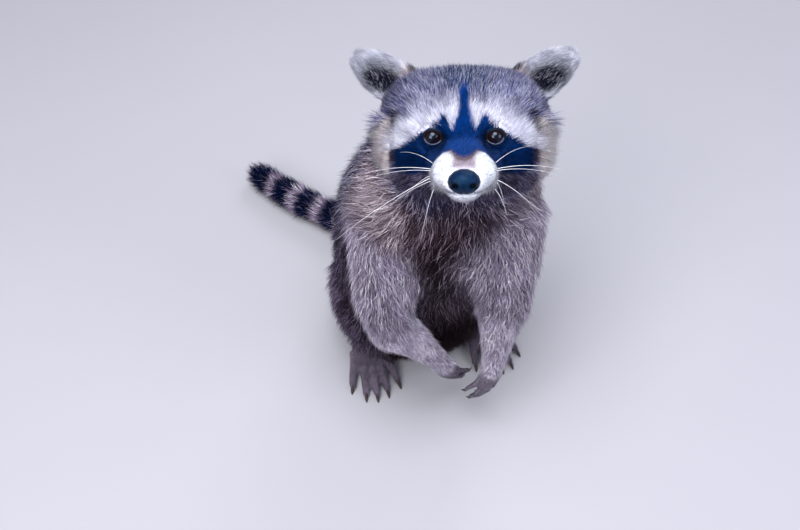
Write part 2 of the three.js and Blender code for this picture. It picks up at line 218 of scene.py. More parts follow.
class RaccoonColours(bpy.types.PropertyGroup):
    crown_under: tint("Crown underfur", "Underfur of the crown", "#262343")
    crown_over: tint("Crown", "Most tips of the crown", "#55588c")
    crown_tip: tint("Crown tips", "Pale tips of the crown", "#dad8fa")
    crown_dusk: tint("Crown middle", "Darker blue-grey middle of the crown", "#34446e")
    brow: tint("Brow", "White bands over the mask", "#dedcf0")
    temple: tint("Temple", "Dark streaks behind the end of each brow", "#2c2338")
    # partly the mask's own near-black, partly painted sky light: blue, brighter in the middle and stripe than at the
    # sides
    mask: tint("Mask", "Mask and forehead stripe", "#00357a")
    mask_side: tint("Mask sides", "Outer parts of the mask", "#02285c")
    mask_fringe: tint("Mask fringe", "Brown edge of the mask", "#45303c")
    muzzle: tint("Muzzle", "White sides of the muzzle", "#eef0fb")
    bridge: tint("Bridge", "Pinkish patch above the nose", "#93818f")
    cheek: tint("Cheek", "Brown fur below the mask", "#3a3858")
    cheek_tip: tint("Cheek tips", "Pale streaks in the cheeks", "#b3a4bc")
    cheek_rim: tint("Cheek rim", "Pale fur at the edge of the face", "#f7e8ea")
    chest_under: tint("Chest underfur", "Brown underfur of the chest", "#171013")
    chest_over: tint("Chest", "Most tips of the chest", "#35252d")
    chest_tip: tint("Chest tips", "Pale tips of the chest", "#bca8ba")
    flank_under: tint("Flank underfur", "Underfur of flanks and back", "#1d1722")
    flank_over: tint("Flank", "Most tips of flanks and back", "#352d3d")
    flank_tip: tint("Flank tips", "Pale tips of flanks and back", "#8f82a2")
    belly: tint("Belly", "Fur of the belly", "#43333b")
    arm_under: tint("Arm underfur", "Underfur of the arms", "#544a60")
    arm_over: tint("Arm", "Most tips of the arms", "#a293ac")
    arm_tip: tint("Arm tips", "Pale tips of the arms", "#f4ecfa")
    leg_under: tint("Leg underfur", "Underfur of the legs", "#1f1822")
    leg_over: tint("Leg", "Most tips of the legs", "#463848")
    leg_tip: tint("Leg tips", "Pale tips of the legs", "#8f819c")
    tail_dark: tint("Tail", "Dark rings and tip of the tail", "#020f30")
    tail_ring: tint("Tail rings", "Pale rings of the tail", "#9a88a2")
    # painted shade in the ear's hollow, and the dark tufts at the ends of the ear's root
    ear_dark: tint("Ear hollow", "Dark hollow of the ear", "#101022")
    ear_warm: tint("Ear root", "Warm fur at the root of the ear", "#b9a2a4")
    ear_rim: tint("Ear rim", "Pale rim of the ear", "#d4d6ea")
    paw: tint("Paw skin", "Bare skin of palms and soles", "#1d1b24")
    paw_back: tint("Paw backs", "Short fur on the backs of fingers and toes", "#94889c")
    foot_over: tint("Foot", "Short fur on the backs of the feet", "#7d7082")
    paw_tip: tint("Fingertips", "Pinkish tips of the digits", "#75656c")
    # partly the nose's own near-black leather, partly a painted blue sky reflection
    nose: tint("Nose", "Leather of the nose", "#04142b")
    lid: tint("Lid", "Dark rim of the eyelids", "#040812")
    # painted highlight: the pale blue glint along the moist edge of the lower lid
    lid_highlight: tint("Lower lid", "Moist edge of the lower eyelid", "#7080a8")
    iris: tint("Iris", "Dark brown of the eye", "#170808")
    claw: tint("Claw", "Horn of the claws", "#3a302e")
    whisker: tint("Whisker", "White of the whiskers", "#f1eef7")
    floor: tint("Floor", "Plain floor", "#a5a3aa")


def sizes():
    return bpy.context.scene.raccoon_sizes


def tints():
    return bpy.context.scene.raccoon_colours


# ---------- what covers each region ----------

# depth: from the tips of the coat down to the skin, mm. length: of a guard hair tuft, mm. guards and downs: tufts
# of guard hair and of underfur in a square centimetre, and their widths, mm. lift and lie: how far a tuft's root
# and its tip stand off the skin, degrees. ruffle: how far it wanders from the lie, degrees. smooth: how much the
# creases under it are rounded, 0 to 1. The face, ears and paws have one layer alone.
Cover = namedtuple("Cover", "depth length guards guard_width downs down_width lift lie ruffle smooth")
COVERS = {
    "head": Cover(3.2, 8.0, 270, 0.42, 90, 1.0, 34, 18, 11, 0.6),
    "muzzle": Cover(1.3, 3.2, 490, 0.29, 0, 0.8, 22, 12, 6, 0.3),
    "lower_jaw": Cover(1.3, 4.0, 400, 0.33, 0, 0.8, 24, 12, 8, 0.3),
    "ear": Cover(0.8, 6.2, 440, 0.3, 0, 0.8, 22, 12, 10, 0.05),
    "neck": Cover(11, 25, 63, 0.46, 48, 1.3, 40, 18, 27, 1),
    "trunk": Cover(9, 24, 34, 0.46, 26, 1.6, 34, 14, 23, 1),
    "upper_arm": Cover(7, 18, 57, 0.44, 44, 1.3, 34, 12, 12, 1),
    "forearm": Cover(4, 12, 75, 0.4, 50, 1.1, 28, 10, 9, 0.7),
    "hand": Cover(0.8, 3.8, 300, 0.38, 0, 0.9, 22, 9, 10, 0),
    "thigh": Cover(9, 21, 44, 0.48, 34, 1.4, 34, 14, 12, 1),
    "shank": Cover(5, 13, 60, 0.44, 40, 1.2, 28, 12, 10, 0.8),
    "foot": Cover(1.0, 5.2, 260, 0.42, 0, 0.9, 22, 9, 10, 0.1),
    "tail": Cover(8, 17, 56, 0.48, 44, 1.3, 42, 18, 14, 0.5),
}
REGIONS = list(COVERS)
BARE_NODES = ("eye_", "nose", "hand_claw", "foot_claw")
FLESH = [name for name in sorted(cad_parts) if not name.startswith(BARE_NODES)]
CLAWS = [name for name in sorted(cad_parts) if "_claw_" in name]

PELT = {}  # what the skin's operator works out, for the operators that follow it


def region_of(node):
    return next(region for region in REGIONS if node.startswith(region))


def by_region(shares):
    """The columns of shares under the regions' names."""
    return {region: shares[:, i] for i, region in enumerate(REGIONS)}


# ---------- objects ----------


def none_selected():
    bpy.ops.object.select_all(action="DESELECT")


def only(piece):
    none_selected()
    piece.select_set(True)
    bpy.context.view_layer.objects.active = piece
    return piece


def applied(piece, kind, **settings):
    """Adds a modifier with its settings and applies it."""
    only(piece)
    modifier = piece.modifiers.new(kind.title(), kind)
    for name, value in settings.items():
        setattr(modifier, name, value)
    bpy.ops.object.modifier_apply(modifier=modifier.name)


def new_piece(name, mesh):
    piece = bpy.data.objects.new(name, mesh)
    bpy.context.scene.collection.objects.link(piece)
    return piece


def copy_of_node(node):
    """A merged copy of a CAD node."""
    piece = new_piece(f"copy_{node}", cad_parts[node].data.copy())
    piece.data.materials.clear()
    applied(piece, "WELD", merge_threshold=1e-6)
    return piece


def grown(piece, grow):
    """Moves a piece's surface out by a few tenths of a millimetre, or in by them."""
    applied(piece, "DISPLACE", strength=grow * MM, mid_level=0)
    return piece


def joined(pieces, name):
    none_selected()
    for piece in pieces:
        piece.select_set(True)
    bpy.context.view_layer.objects.active = pieces[0]
    bpy.ops.object.join()
    pieces[0].name = name
    pieces[0].data.name = name
    return pieces[0]


def coordinates(mesh):
    flat = np.empty(len(mesh.vertices) * 3, np.float32)
    mesh.vertices.foreach_get("co", flat)
    return flat.reshape(-1, 3).astype(float)


def set_coordinates(mesh, points):
    mesh.vertices.foreach_set("co", points.astype(np.float32).ravel())
    mesh.update()


def normals_of(mesh):
    flat = np.empty(len(mesh.vertices) * 3, np.float32)
    mesh.vertex_normals.foreach_get("vector", flat)
    return unit(flat.reshape(-1, 3).astype(float))


def mesh_of(name, points, triangles):
    """A smooth-shaded mesh from arrays."""
    mesh = bpy.data.meshes.new(name)
    mesh.vertices.add(len(points))
    mesh.vertices.foreach_set("co", points.astype(np.float32).ravel())
    mesh.loops.add(triangles.size)
    mesh.loops.foreach_set("vertex_index", triangles.astype(np.int32).ravel())
    mesh.polygons.add(len(triangles))
    mesh.polygons.foreach_set("loop_start", np.arange(0, triangles.size, 3, dtype=np.int32))
    mesh.update(calc_edges=True)
    mesh.shade_smooth()
    return mesh


def paint(mesh, name, values):
    """Linear colours on a mesh's vertices."""
    layer = mesh.color_attributes.new(name, "FLOAT_COLOR", "POINT")
    whole = np.ones((len(values), 4), np.float32)
    whole[:, :3] = values
    layer.data.foreach_set("color", whole.ravel())


def measure(mesh, name, values):
    """Numbers on a mesh's vertices."""
    layer = mesh.attributes.new(name, "FLOAT", "POINT")
    layer.data.foreach_set("value", values.astype(np.float32))


class Net:
    """The edges of a mesh, for averaging values over each vertex's neighbours."""

    def __init__(self, mesh):
        ends = np.empty(len(mesh.edges) * 2, np.int32)
        mesh.edges.foreach_get("vertices", ends)
        self.one, self.other = ends.reshape(-1, 2).T
        self.count = len(mesh.vertices)
        valence = np.bincount(self.one, minlength=self.count) + np.bincount(self.other, minlength=self.count)
        self.valence = np.maximum(valence, 1)

    def averaged(self, values):
        total = np.empty_like(values)
        for column in range(values.shape[1]):
            part = values[:, column]
            total[:, column] = np.bincount(self.one, part[self.other], self.count)
            total[:, column] += np.bincount(self.other, part[self.one], self.count)
        return total / self.valence[:, None]

    def smoothed(self, values, steps, share=0.6):
        for _ in range(steps):
            values = values + (self.averaged(values) - values) * share
        return values


# ---------- material nodes ----------


def add_node(tree, kind, settings=None, **inputs):
    """A node with its settings, and its inputs linked from sockets or set to values. The stops of a colour ramp
    are (place, linear colour) pairs."""
    node = tree.nodes.new(kind)
    settings = dict(settings or {})
    stops = settings.pop("stops", [])
    for name, value in settings.items():
        setattr(node, name, value)
    for index, (place, rgb) in enumerate(stops):
        elements = node.color_ramp.elements
        element = elements[index] if index < len(elements) else elements.new(place)
        element.position = place
        element.color = opaque(rgb)
    for name, value in inputs.items():
        key = int(name[1:]) if name[0] == "i" and name[1:].isdigit() else name.replace("_", " ")
        if isinstance(value, bpy.types.NodeSocket):
            tree.links.new(value, node.inputs[key])
        else:
            node.inputs[key].default_value = value
    return node


def material(name, **finish):
    """A new node material with the finish's constant numbers on its shader's own sockets, and the places that its
    patterns can follow."""
    made = bpy.data.materials.new(name)
    made.use_nodes = True
    shader = made.node_tree.nodes["Principled BSDF"]
    for socket, value in finish.items():
        shader.inputs[socket.replace("_", " ")].default_value = value
    return made, made.node_tree, add_node(made.node_tree, "ShaderNodeTexCoord").outputs


def dressed(made, colour_socket, height=None, strength=0.0, distance=0.0):
    """The material with its colour linked and, where a height is given, its relief, at most distance metres deep."""
    tree = made.node_tree
    shader = tree.nodes["Principled BSDF"]
    tree.links.new(colour_socket, shader.inputs["Base Color"])
    if height is not None:
        bump = add_node(tree, "ShaderNodeBump", Height=height, Strength=strength, Distance=distance)
        tree.links.new(bump.outputs["Normal"], shader.inputs["Normal"])
    return made


def marked(tree, attribute, shade):
    """The colours of the mesh's own attribute, times a shade."""
    marks = add_node(tree, "ShaderNodeAttribute", {"attribute_name": attribute})
    mixed = add_node(
        tree, "ShaderNodeVectorMath", {"operation": "SCALE"}, Vector=marks.outputs["Color"],
        Scale=shade.outputs["Result"],
    )
    return mixed.outputs["Vector"]


def toned_material(name, rgb, tones, grain, relief=None, **finish):
    """A material of one colour in two tones, (place on the grain, share of the colour), that may be in relief."""
    made, tree, places = material(name, **finish)
    noise = add_node(tree, "ShaderNodeTexNoise", Vector=places["Object"], **grain).outputs["Fac"]
    stops = [(place, scaled(rgb, share)) for place, share in tones]
    toned = add_node(tree, "ShaderNodeValToRGB", {"stops": stops}, Fac=noise)
    return dressed(made, toned.outputs["Color"], *([noise, *relief] if relief else []))


def coat_material():
    """Guard hair and underfur, washed and dry: keratin strands with a soft satin sheen, paler at their tips.
    The strands' own colours are on the mesh; a fine mottle breaks them up as single hairs do."""
    made, tree, places = material("raccoon_guard_hair", Roughness=0.75, Specular_IOR_Level=0.04)
    # hairs are about 0.1 mm apart; the mottle is drawn at 0.8 mm, the finest that a strand can show
    mottle = add_node(tree, "ShaderNodeTexNoise", Vector=places["Object"], Scale=1250.0, Detail=1.0)
    shade = add_node(tree, "ShaderNodeMapRange", Value=mottle.outputs["Fac"], To_Min=0.8, To_Max=1.2)
    return dressed(made, marked(tree, "coat", shade))


def skin_material():
    """Skin under the coat: short dense underfur where it is furred, dark finely wrinkled leather on the digits,
    pads and lids, dull and a little waxy."""
    made, tree, places = material("raccoon_skin", Roughness=0.7, Specular_IOR_Level=0.15)
    place = places["Object"]
    furred = add_node(tree, "ShaderNodeAttribute", {"attribute_name": "furred"})
    # underfur lies in tufts about 1.2 mm apart, and the leather's wrinkles are about 0.7 mm apart
    underfur = add_node(tree, "ShaderNodeTexNoise", Vector=place, Scale=820.0, Detail=4.0, Roughness=0.7)
    wrinkle = add_node(tree, "ShaderNodeTexVoronoi", {"feature": "DISTANCE_TO_EDGE"}, Vector=place, Scale=1400.0)
    shade = add_node(tree, "ShaderNodeMapRange", Value=underfur.outputs["Fac"], To_Min=0.62, To_Max=1.3)
    height = add_node(
        tree, "ShaderNodeMix", Factor=furred.outputs["Fac"], A=wrinkle.outputs["Distance"],
        B=underfur.outputs["Fac"],
    )
    return dressed(made, marked(tree, "coat", shade), height.outputs["Result"], 0.55, 0.0005)


# The cool sheen of wet leather and of a wet eye under open air, as the tint of their highlights.
NOSE_SHEEN = (0.25, 0.6, 1.0, 1.0)
EYE_SHEEN = (0.4, 0.62, 1.0, 1.0)


def nose_material():
    """The nose's bare leather: near black with a painted blue sky reflection, pebbled in cells of about 0.9 mm,
    moist, so it shines softly.
    """
    made, tree, places = material(
        "nose_leather_moist", Roughness=0.42, Specular_IOR_Level=0.18, Specular_Tint=NOSE_SHEEN, Coat_Weight=0.02,
        Coat_Roughness=0.3,
    )
    place = places["Object"]
    pebble = add_node(tree, "ShaderNodeTexVoronoi", {"feature": "DISTANCE_TO_EDGE"}, Vector=place, Scale=1100.0)
    tone = add_node(tree, "ShaderNodeTexNoise", Vector=place, Scale=260.0, Detail=3.0)
    stops = [(0.3, tints().nose), (0.75, scaled(tints().nose, 1.9))]
    leather = add_node(tree, "ShaderNodeValToRGB", {"stops": stops}, Fac=tone.outputs["Fac"])
    # painted shade: the nostrils and the groove are darkened, as they swallow the light
    pit_shade = add_node(tree, "ShaderNodeAttribute", {"attribute_name": "pit_shade"})
    lit = add_node(tree, "ShaderNodeMapRange", Value=pit_shade.outputs["Fac"], To_Min=1.0, To_Max=0.05)
    base = add_node(
        tree, "ShaderNodeVectorMath", {"operation": "SCALE"}, Vector=leather.outputs["Color"],
        Scale=lit.outputs["Result"],
    )
    return dressed(made, base.outputs["Vector"], pebble.outputs["Distance"], 0.5, 0.0004)


def eye_material():
    """A living eye: a wet clear cornea over a black pupil, a dark brown iris streaked from the pupil outwards and
    a black outer ring. The eyeball's own map runs from the back pole to the front one."""
    made, tree, places = material(
        "eyeball_wet", Roughness=0.12, Coat_Weight=0.3, Coat_Roughness=0.03, IOR=1.376, Specular_Tint=EYE_SHEEN
    )
    spread = add_node(tree, "ShaderNodeSeparateXYZ", Vector=places["UV"])
    # about 90 fibres go round the iris
    turn = add_node(tree, "ShaderNodeCombineXYZ", X=spread.outputs["X"], Y=0.0)
    fibres = add_node(
        tree, "ShaderNodeTexNoise", {"noise_dimensions": "2D"}, Vector=turn.outputs["Vector"], Scale=90.0,
        Detail=2.0,
    )
    nudge = add_node(
        tree, "ShaderNodeMath", {"operation": "MULTIPLY_ADD"}, i0=fibres.outputs["Fac"], i1=0.03,
        i2=spread.outputs["Y"],
    )
    iris, black = tints().iris, (0.002, 0.002, 0.004)
    stops = [
        (0.0, black), (0.69, black), (0.72, scaled(iris, 0.4)), (0.79, iris), (0.86, scaled(iris, 1.25)),
        (0.9, black), (1.0, black),
    ]
    rings = add_node(tree, "ShaderNodeValToRGB", {"stops": stops}, Fac=nudge.outputs["Value"])
    return dressed(made, rings.outputs["Color"])


def claw_material():
    """Claw horn: keratin in long growth lines about 0.6 mm apart, smooth, in darker and paler streaks."""
    grain = {"Scale": 1600.0, "Detail": 2.0, "Distortion": 0.6}
    return toned_material(
        "claw_horn_smooth", tints().claw, [(0.3, 0.55), (0.7, 1.5)], grain, (0.25, 0.0002), Roughness=0.38,
        Specular_IOR_Level=0.5,
    )


def whisker_material():
    """Whiskers: single stiff white keratin hairs, glossier than the coat, a little duller in places."""
    return toned_material(
        "whisker_keratin", tints().whisker, [(0.3, 0.8), (0.6, 1)], {"Scale": 60.0}, Roughness=0.35,
        Specular_IOR_Level=0.5,
    )


def floor_material():
    """A plain painted studio floor, matt, with the faintest mottle."""
    return toned_material(
        "studio_floor_paint", tints().floor, [(0.3, 0.97), (0.7, 1)], {"Scale": 3.0, "Detail": 3.0},
        Roughness=0.85, Specular_IOR_Level=0.2,
    )


# ---------- markings ----------

# How a place on the animal is coloured: its underfur, the tips of most tufts, the tips of the pale ones, and
# the share of tufts with pale tips.
UNDER, OVER, PALE, SHARE = slice(0, 3), slice(3, 6), slice(6, 9), 9

# Each kind of fur: its colours for those three, how bright each of them is taken, and the share.
FURS = {
    "crown": ("crown_under crown_over crown_tip", (1, 1, 1), 0.4),
    "dusk": ("crown_dusk crown_dusk crown_tip", (0.4, 0.9, 1), 0.2),
    "pale crown": ("crown_tip crown_tip brow", (0.4, 0.6, 1), 0.5),
    "cheek": ("cheek cheek cheek_tip", (0.6, 1, 1), 0.3),
    "cheek rim": ("cheek_rim cheek_rim cheek_rim", (0.7, 1, 1), 0.5),
    "temple": ("temple temple crown_tip", (0.6, 1, 1), 0.22),
    "brow": ("brow brow brow", (1, 1, 1), 0.5),
    # the mask's middle and stripe carry painted sky light, a brighter blue than its sides
    "mask": ("mask mask mask", (0.8, 1, 1), 0.5),
    "mask side": ("mask_side mask_side mask_side", (0.8, 1, 1), 0.5),
    "mask fringe": ("mask_fringe mask_fringe cheek_tip", (0.6, 1, 1), 0.25),
    "eye socket": ("mask_side mask_side mask_side", (0.3, 0.35, 1), 0.5),
    "muzzle": ("muzzle muzzle muzzle", (1, 1, 1), 0.5),
    "bridge": ("bridge bridge muzzle", (0.75, 1, 1), 0.22),
    "seam": ("mask_fringe mask_fringe cheek_tip", (1, 1, 1), 0.3),
    "lips": ("mask_side mask_side cheek_tip", (1, 1, 1), 0.15),
    "ear rim": ("ear_rim ear_rim brow", (0.4, 0.6, 1), 0.5),
    # painted shade: the dark hollow of the ear and the dimmer haze round it
    "ear shade and dark tufts": ("ear_dark ear_dark ear_rim", (0.7, 1, 1), 0.1),
    "ear shade haze": ("ear_rim ear_rim ear_rim", (0.12, 0.24, 1), 0.2),
    "ear root": ("ear_warm ear_warm ear_rim", (0.5, 1, 1), 0.3),
    "ear back": ("crown_under crown_over ear_rim", (1, 1, 1), 0.35),
    "flank": ("flank_under flank_over flank_tip", (1, 1, 1), 0.22),
    # painted shade: the flanks darker low down
    "shaded low flank": ("flank_under flank_over flank_tip", (0.7, 0.6, 1), 0.2),
    "saddle": ("flank_under flank_over flank_tip", (0.8, 1, 1.25), 0.36),
    "nape": ("flank_under flank_over crown_tip", (1, 1.5, 1), 0.36),
    "chest": ("chest_under chest_over chest_tip", (1, 1, 1), 0.15),
    "throat": ("chest_under chest_over chest_tip", (1.6, 1.5, 1), 0.3),
    "pale breast": ("chest_over chest_tip cheek_rim", (0.9, 0.8, 1), 0.45),
    # partly a dark parting of the fur, partly painted shade under the head
    "parting and shade": ("chest_under chest_over chest_tip", (0.4, 0.35, 1), 0.06),
    "belly": ("belly belly chest_tip", (0.5, 1, 1), 0.14),
    # painted shade: the low belly, hidden behind the limbs, darker
    "shaded belly": ("belly belly belly", (0.15, 0.25, 1), 0.15),
    "arm": ("arm_under arm_over arm_tip", (1, 1, 1), 0.34),
    "forearm": ("arm_over arm_over arm_tip", (0.75, 1.5, 1), 0.64),
    "leg": ("leg_under leg_over leg_tip", (1, 1, 1), 0.28),
    "paw": ("paw_back paw_back arm_tip", (0.28, 1, 1), 0.3),
    "foot": ("foot_over foot_over paw_back", (0.4, 1, 1), 0.35),
    "tail": ("tail_dark tail_dark flank_tip", (0.6, 1, 1), 0.07),
    "tail ring": ("tail_ring tail_ring arm_tip", (0.55, 1, 1), 0.25),
}

# The markings, each over the ones before it: its fur, how fully it covers, the fields that it is limited to, and
# the fields that it fades in over, from where there is none of it to where it is whole. Places are in
# millimetres: side out from the middle, up the plane of the face, back in the head's frame and height in the
# body's. On the ears up and across are shares of the ear.
HEAD_MARKINGS = [
    ("crown", 1, "whole_head", []),
    ("dusk", 0.9, "whole_head", [("up", 27, 38), ("side", 26, 12), ("back", 64, 48)]),
    ("pale crown", 0.55, "whole_head front", [("up", 34, 22), ("up", 8, 16), ("side", 46, 30)]),
    ("cheek", 1, "whole_head", [("up", -21, -27), ("back", 34, 20)]),
    ("cheek rim", 1, "ruff", []),
    ("temple", 0.85, "whole_head front", [("off_temple", 1.5, 0.6)]),
    ("brow", 1, "whole_head front", [("over_brow_low", -0.9, 0.7), ("under_brow_top", -7, 1.5), ("side", 60, 54)]),
    ("mask fringe", 1, "masked", [("side", 56, 50.5)]),
    ("mask side", 1, "masked", [("side", 50.5, 47.5)]),
    # painted sky light: the mask's middle a brighter blue than its sides
    ("mask", 0.85, "masked", [("side", 22, 8)]),
    ("eye socket", 0.65, "masked", [("off_eye", 6.5, 2)]),
    # the stripe in the same brighter blue, partly painted sky light
    ("mask", 1, "front", [("off_stripe", 1.35, 0.75), ("up", 42, 32)]),
    ("muzzle", 1, "", [("over_mask_low", 0.6, -0.9), ("past_muzzle", 1.6, -1.2), ("back", 6, -4)]),
    ("muzzle", 1, "chin", []),
    ("bridge", 0.95, "", [("over_mask_low", 0.6, -0.9), ("side", 11, 5.5), ("up", -31, -25)]),
    ("seam", 0.85, "", [("off_mask_low", 3.4, 0.4), ("side", 16, 6), ("back", 0, -8)]),
    ("lips", 0.8, "snout", [("off_lips", 1.5, 0.5), ("back", -6, -14)]),
]
EAR_MARKINGS = [
    ("ear rim", 1, "own", []),
    ("ear root", 0.8, "own forward", [("up", 0.34, 0.12), ("across", 0.4, -0.3)]),
    # painted shade: a dim haze and a dark patch in the ear's hollow
    ("ear shade haze", 0.8, "own forward", [("off_shade_haze", 1.05, 0.55)]),
    ("ear shade and dark tufts", 1, "own forward", [("off_hollow_shade", 1.1, 0.5)]),
    ("ear back", 1, "own rearward", [("up", 0.85, 0.5), ("off_middle", 1, 0.7)]),
    ("ear shade and dark tufts", 0.9, "", [("off_notch", 1.15, 0.6)]),
    ("ear shade and dark tufts", 0.9, "", [("off_tuft", 1.1, 0.6)]),
]
BODY_MARKINGS = [
    # painted shade: darker towards the bottom of the body, from 130 mm down and whole below 50 mm
    ("shaded low flank", 0.8, "", [("height", 130, 50)]),
    ("saddle", 0.8, "", [("side", 46, 16), ("facing_back", 0.1, 0.6)]),
    ("nape", 1, "neck behind", []),
    ("chest", 1, "breast front", []),
    ("throat", 1, "breast front", [("height", 205, 245)]),
    ("pale breast", 0.8, "breast", [("side", 30, 56), ("facing_back", -0.05, -0.4), ("height", 175, 215)]),
    # partly a parting of the fur down the middle of the chest, partly painted shade below the head
    ("parting and shade", 1, "breast front", [("side", 40, 14), ("height", 240, 216), ("height", 128, 148)]),
    ("belly", 1, "trunk front", [("height", 165, 130)]),
    # painted shade: the belly darker low down, where the limbs hide it
    ("shaded belly", 1, "trunk front", [("height", 132, 92)]),
    ("arm", 1, "upper_arm", []),
    ("forearm", 1, "lower_arm", []),
    ("leg", 1, "whole_leg", []),
    ("paw", 1, "hand", []),
    ("foot", 1, "foot", []),
]
TAIL_MARKINGS = [("tail", 1.6, "tail", []), ("tail ring", 1, "tail ringed", [("off_ring", 0.22, 0.08)])]

# The markings of the face are laid out on the plane that it shows from the front and a little above: how far
# out from the middle and how far up, in millimetres from a point between the eyes. Stripe, rim and temple have
# their half-width as a third number.
FACE_LEAN = 17  # degrees from the head's own upright
STRIPE = [(0, 40, 1.3), (0, 34, 2.4), (0, 27, 3.1), (0, 21.5, 2.9), (0, 13, 4.3), (0, 5, 7.2)]
BROW_TOP = [(0, 19), (8, 20), (14, 16.5), (17, 15), (27.5, 13.5), (38, 10.5), (45, 7), (53, 2), (60, -4)]
BROW_LOW = [
    (0, 20), (3, 15), (5, 8), (7.9, 2), (10, 6), (12.5, 12), (14.6, 14.4), (17, 11), (19, 8.6), (27.5, 3.6),
    (32.4, 0.4), (39.4, -4.2), (45, -7.4), (52, -8.2), (60, -8),
]
MASK_LOW = [
    (0, -19.8), (4.5, -18.2), (8.6, -13.6), (14.2, -14.8), (19.8, -20.3), (23.3, -26), (38, -26), (46.4, -23),
    (50, -17),
]
MUZZLE_EDGE = [(-60, 8), (-46, 17), (-39, 21), (-34, 22.8), (-28, 23.6), (-24, 22.4), (-19.5, 20), (-13, 16)]
RIM_OF_FACE = [(55, 10, 5), (58, 0, 7), (61, -10, 8), (63, -24, 9), (61, -38, 10), (56, -50, 11), (46, -60, 11)]
TEMPLE = [(48, 16, 3.5), (52, 6, 4)]
MOUTH = [(-10, -34.5), (-30, -32.8), (-44, -31.5)]  # forward and up, of the line between the lips

# Patches of painted shade in an ear: middle and half-size up it and across it, as shares, and tufts beside it:
# middle and size.
EAR_PATCHES = {"off_shade_haze": (0.5, 0.15, 0.46, 0.85), "off_hollow_shade": (0.42, 0.2, 0.38, 0.74)}
EAR_TUFTS = {"off_notch": ((37, 45, 45), (6, 12, 9)), "off_tuft": ((64, 40, 15), (8, 14, 6))}
TAIL_RING_STEP = 31  # from one pale ring to the next
TAIL_RING_AT = 38  # of the last pale ring, from the tip of the tail
TAIL_TIP = 18  # that is dark whatever the rings
HEAD_SHARE = 0.02  # of the head's regions, over which a place may have its markings
NAPE_AT = 55  # how far back they reach on the neck


def fur(kind):
    """A kind of fur as one row of looks."""
    names, shares, pale = FURS[kind]
    parts = [scaled(getattr(tints(), name), share) for name, share in zip(names.split(), shares)]
    return np.array([*parts[0], *parts[1], *parts[2], pale])


def laid_on(looks, marks, fields):
    """The looks with a list of markings laid over them."""
    for kind, cover, limits, fades in marks:
        mask = np.full(len(looks), float(cover))
        for name in limits.split():
            mask = mask * fields[name]
        for name, none, whole in fades:
            mask = mask * ease(fields[name], none, whole)
        looks = mixed(looks, mask, fur(kind))
    return looks


def along_line(across, height, points):
    """Distance to a line through (across, height, half-width) points, as a share of its half-width there."""
    best = np.full(len(across), 1e9)
    for (x0, z0, w0), (x1, z1, w1) in zip(points, points[1:]):
        step = np.array([x1 - x0, z1 - z0])
        share = np.clip(((across - x0) * step[0] + (height - z0) * step[1]) / (step @ step), 0, 1)
        gap = np.hypot(across - x0 - share * step[0], height - z0 - share * step[1])
        best = np.minimum(best, gap / (w0 + (w1 - w0) * share))
    return best


def follow(values, points):
    """The height of a line through points at each value."""
    return np.interp(values, [p[0] for p in points], [p[1] for p in points])


def lip_line(back):
    """How high the line between the lips runs, at places so far back in the head's frame."""
    return follow(-back, [(-p[0], p[1]) for p in MOUTH])


def on_face(points):
    """Places of points of the head's frame on the plane of the face: out from the middle, and up."""
    lean = math.radians(FACE_LEAN)
    return np.abs(points[:, 0]), points[:, 1] * math.sin(lean) + points[:, 2] * math.cos(lean)


def rim_of_face(points):
    """1 where the cheeks' long pale ruff grows round the face."""
    side, up = on_face(points)
    return ease(along_line(side, up, RIM_OF_FACE), 1.4, 0.7) * ease(points[:, 1], 50, 36)


def head_looks(looks, points, weights):
    """Crown, stripe, brows, mask, cheeks, muzzle and chin, in the head's frame."""
    back, rise = points[:, 1], points[:, 2]
    side, up = on_face(points)
    front = ease(back, 46, 26)
    neck, snout = weights["neck"], weights["muzzle"] + weights["lower_jaw"]
    nape = ease(rise, -4, 12) * neck * ease(back, 60, 40)
    whole_head = np.clip((weights["head"] + snout) * 1.4 + nape, 0, 1)
    over_brow_low, over_mask_low = up - follow(side, BROW_LOW), up - follow(side, MASK_LOW)
    fields = {
        "side": side, "up": up, "back": back, "front": front, "whole_head": whole_head, "snout": snout,
        "ruff": rim_of_face(points) * np.clip(whole_head + neck * 0.3, 0, 1),
        "off_temple": along_line(side, up, TEMPLE),
        "off_stripe": along_line(side, up, STRIPE),
        "off_eye": eye_gap(points),
        "off_lips": np.abs(rise - lip_line(back)),
        "over_brow_low": over_brow_low,
        "under_brow_top": follow(side, BROW_TOP) - up,
        "over_mask_low": over_mask_low,
        "off_mask_low": np.abs(over_mask_low + 0.6),
        "past_muzzle": side - follow(up, MUZZLE_EDGE),
        "masked": ease(over_brow_low, 0.7, -0.9) * ease(over_mask_low, -1.2, 1) * front * whole_head,
        "chin": weights["lower_jaw"] + neck * ease(side, 26, 12) * ease(back, 40, 12) * 0.4,
    }
    return laid_on(looks, HEAD_MARKINGS, fields)


def ear_place(points, side):
    """How far up an ear a point lies and how far across it, as shares, for the ear on that side."""
    offset = points - mirrored(EAR_ROOT, side)
    lean, across = unit(mirrored(EAR_LEAN, side)), unit(mirrored(EAR_ACROSS, side))
    return offset @ lean / EAR_LENGTH, offset @ across / EAR_HALF_WIDTH


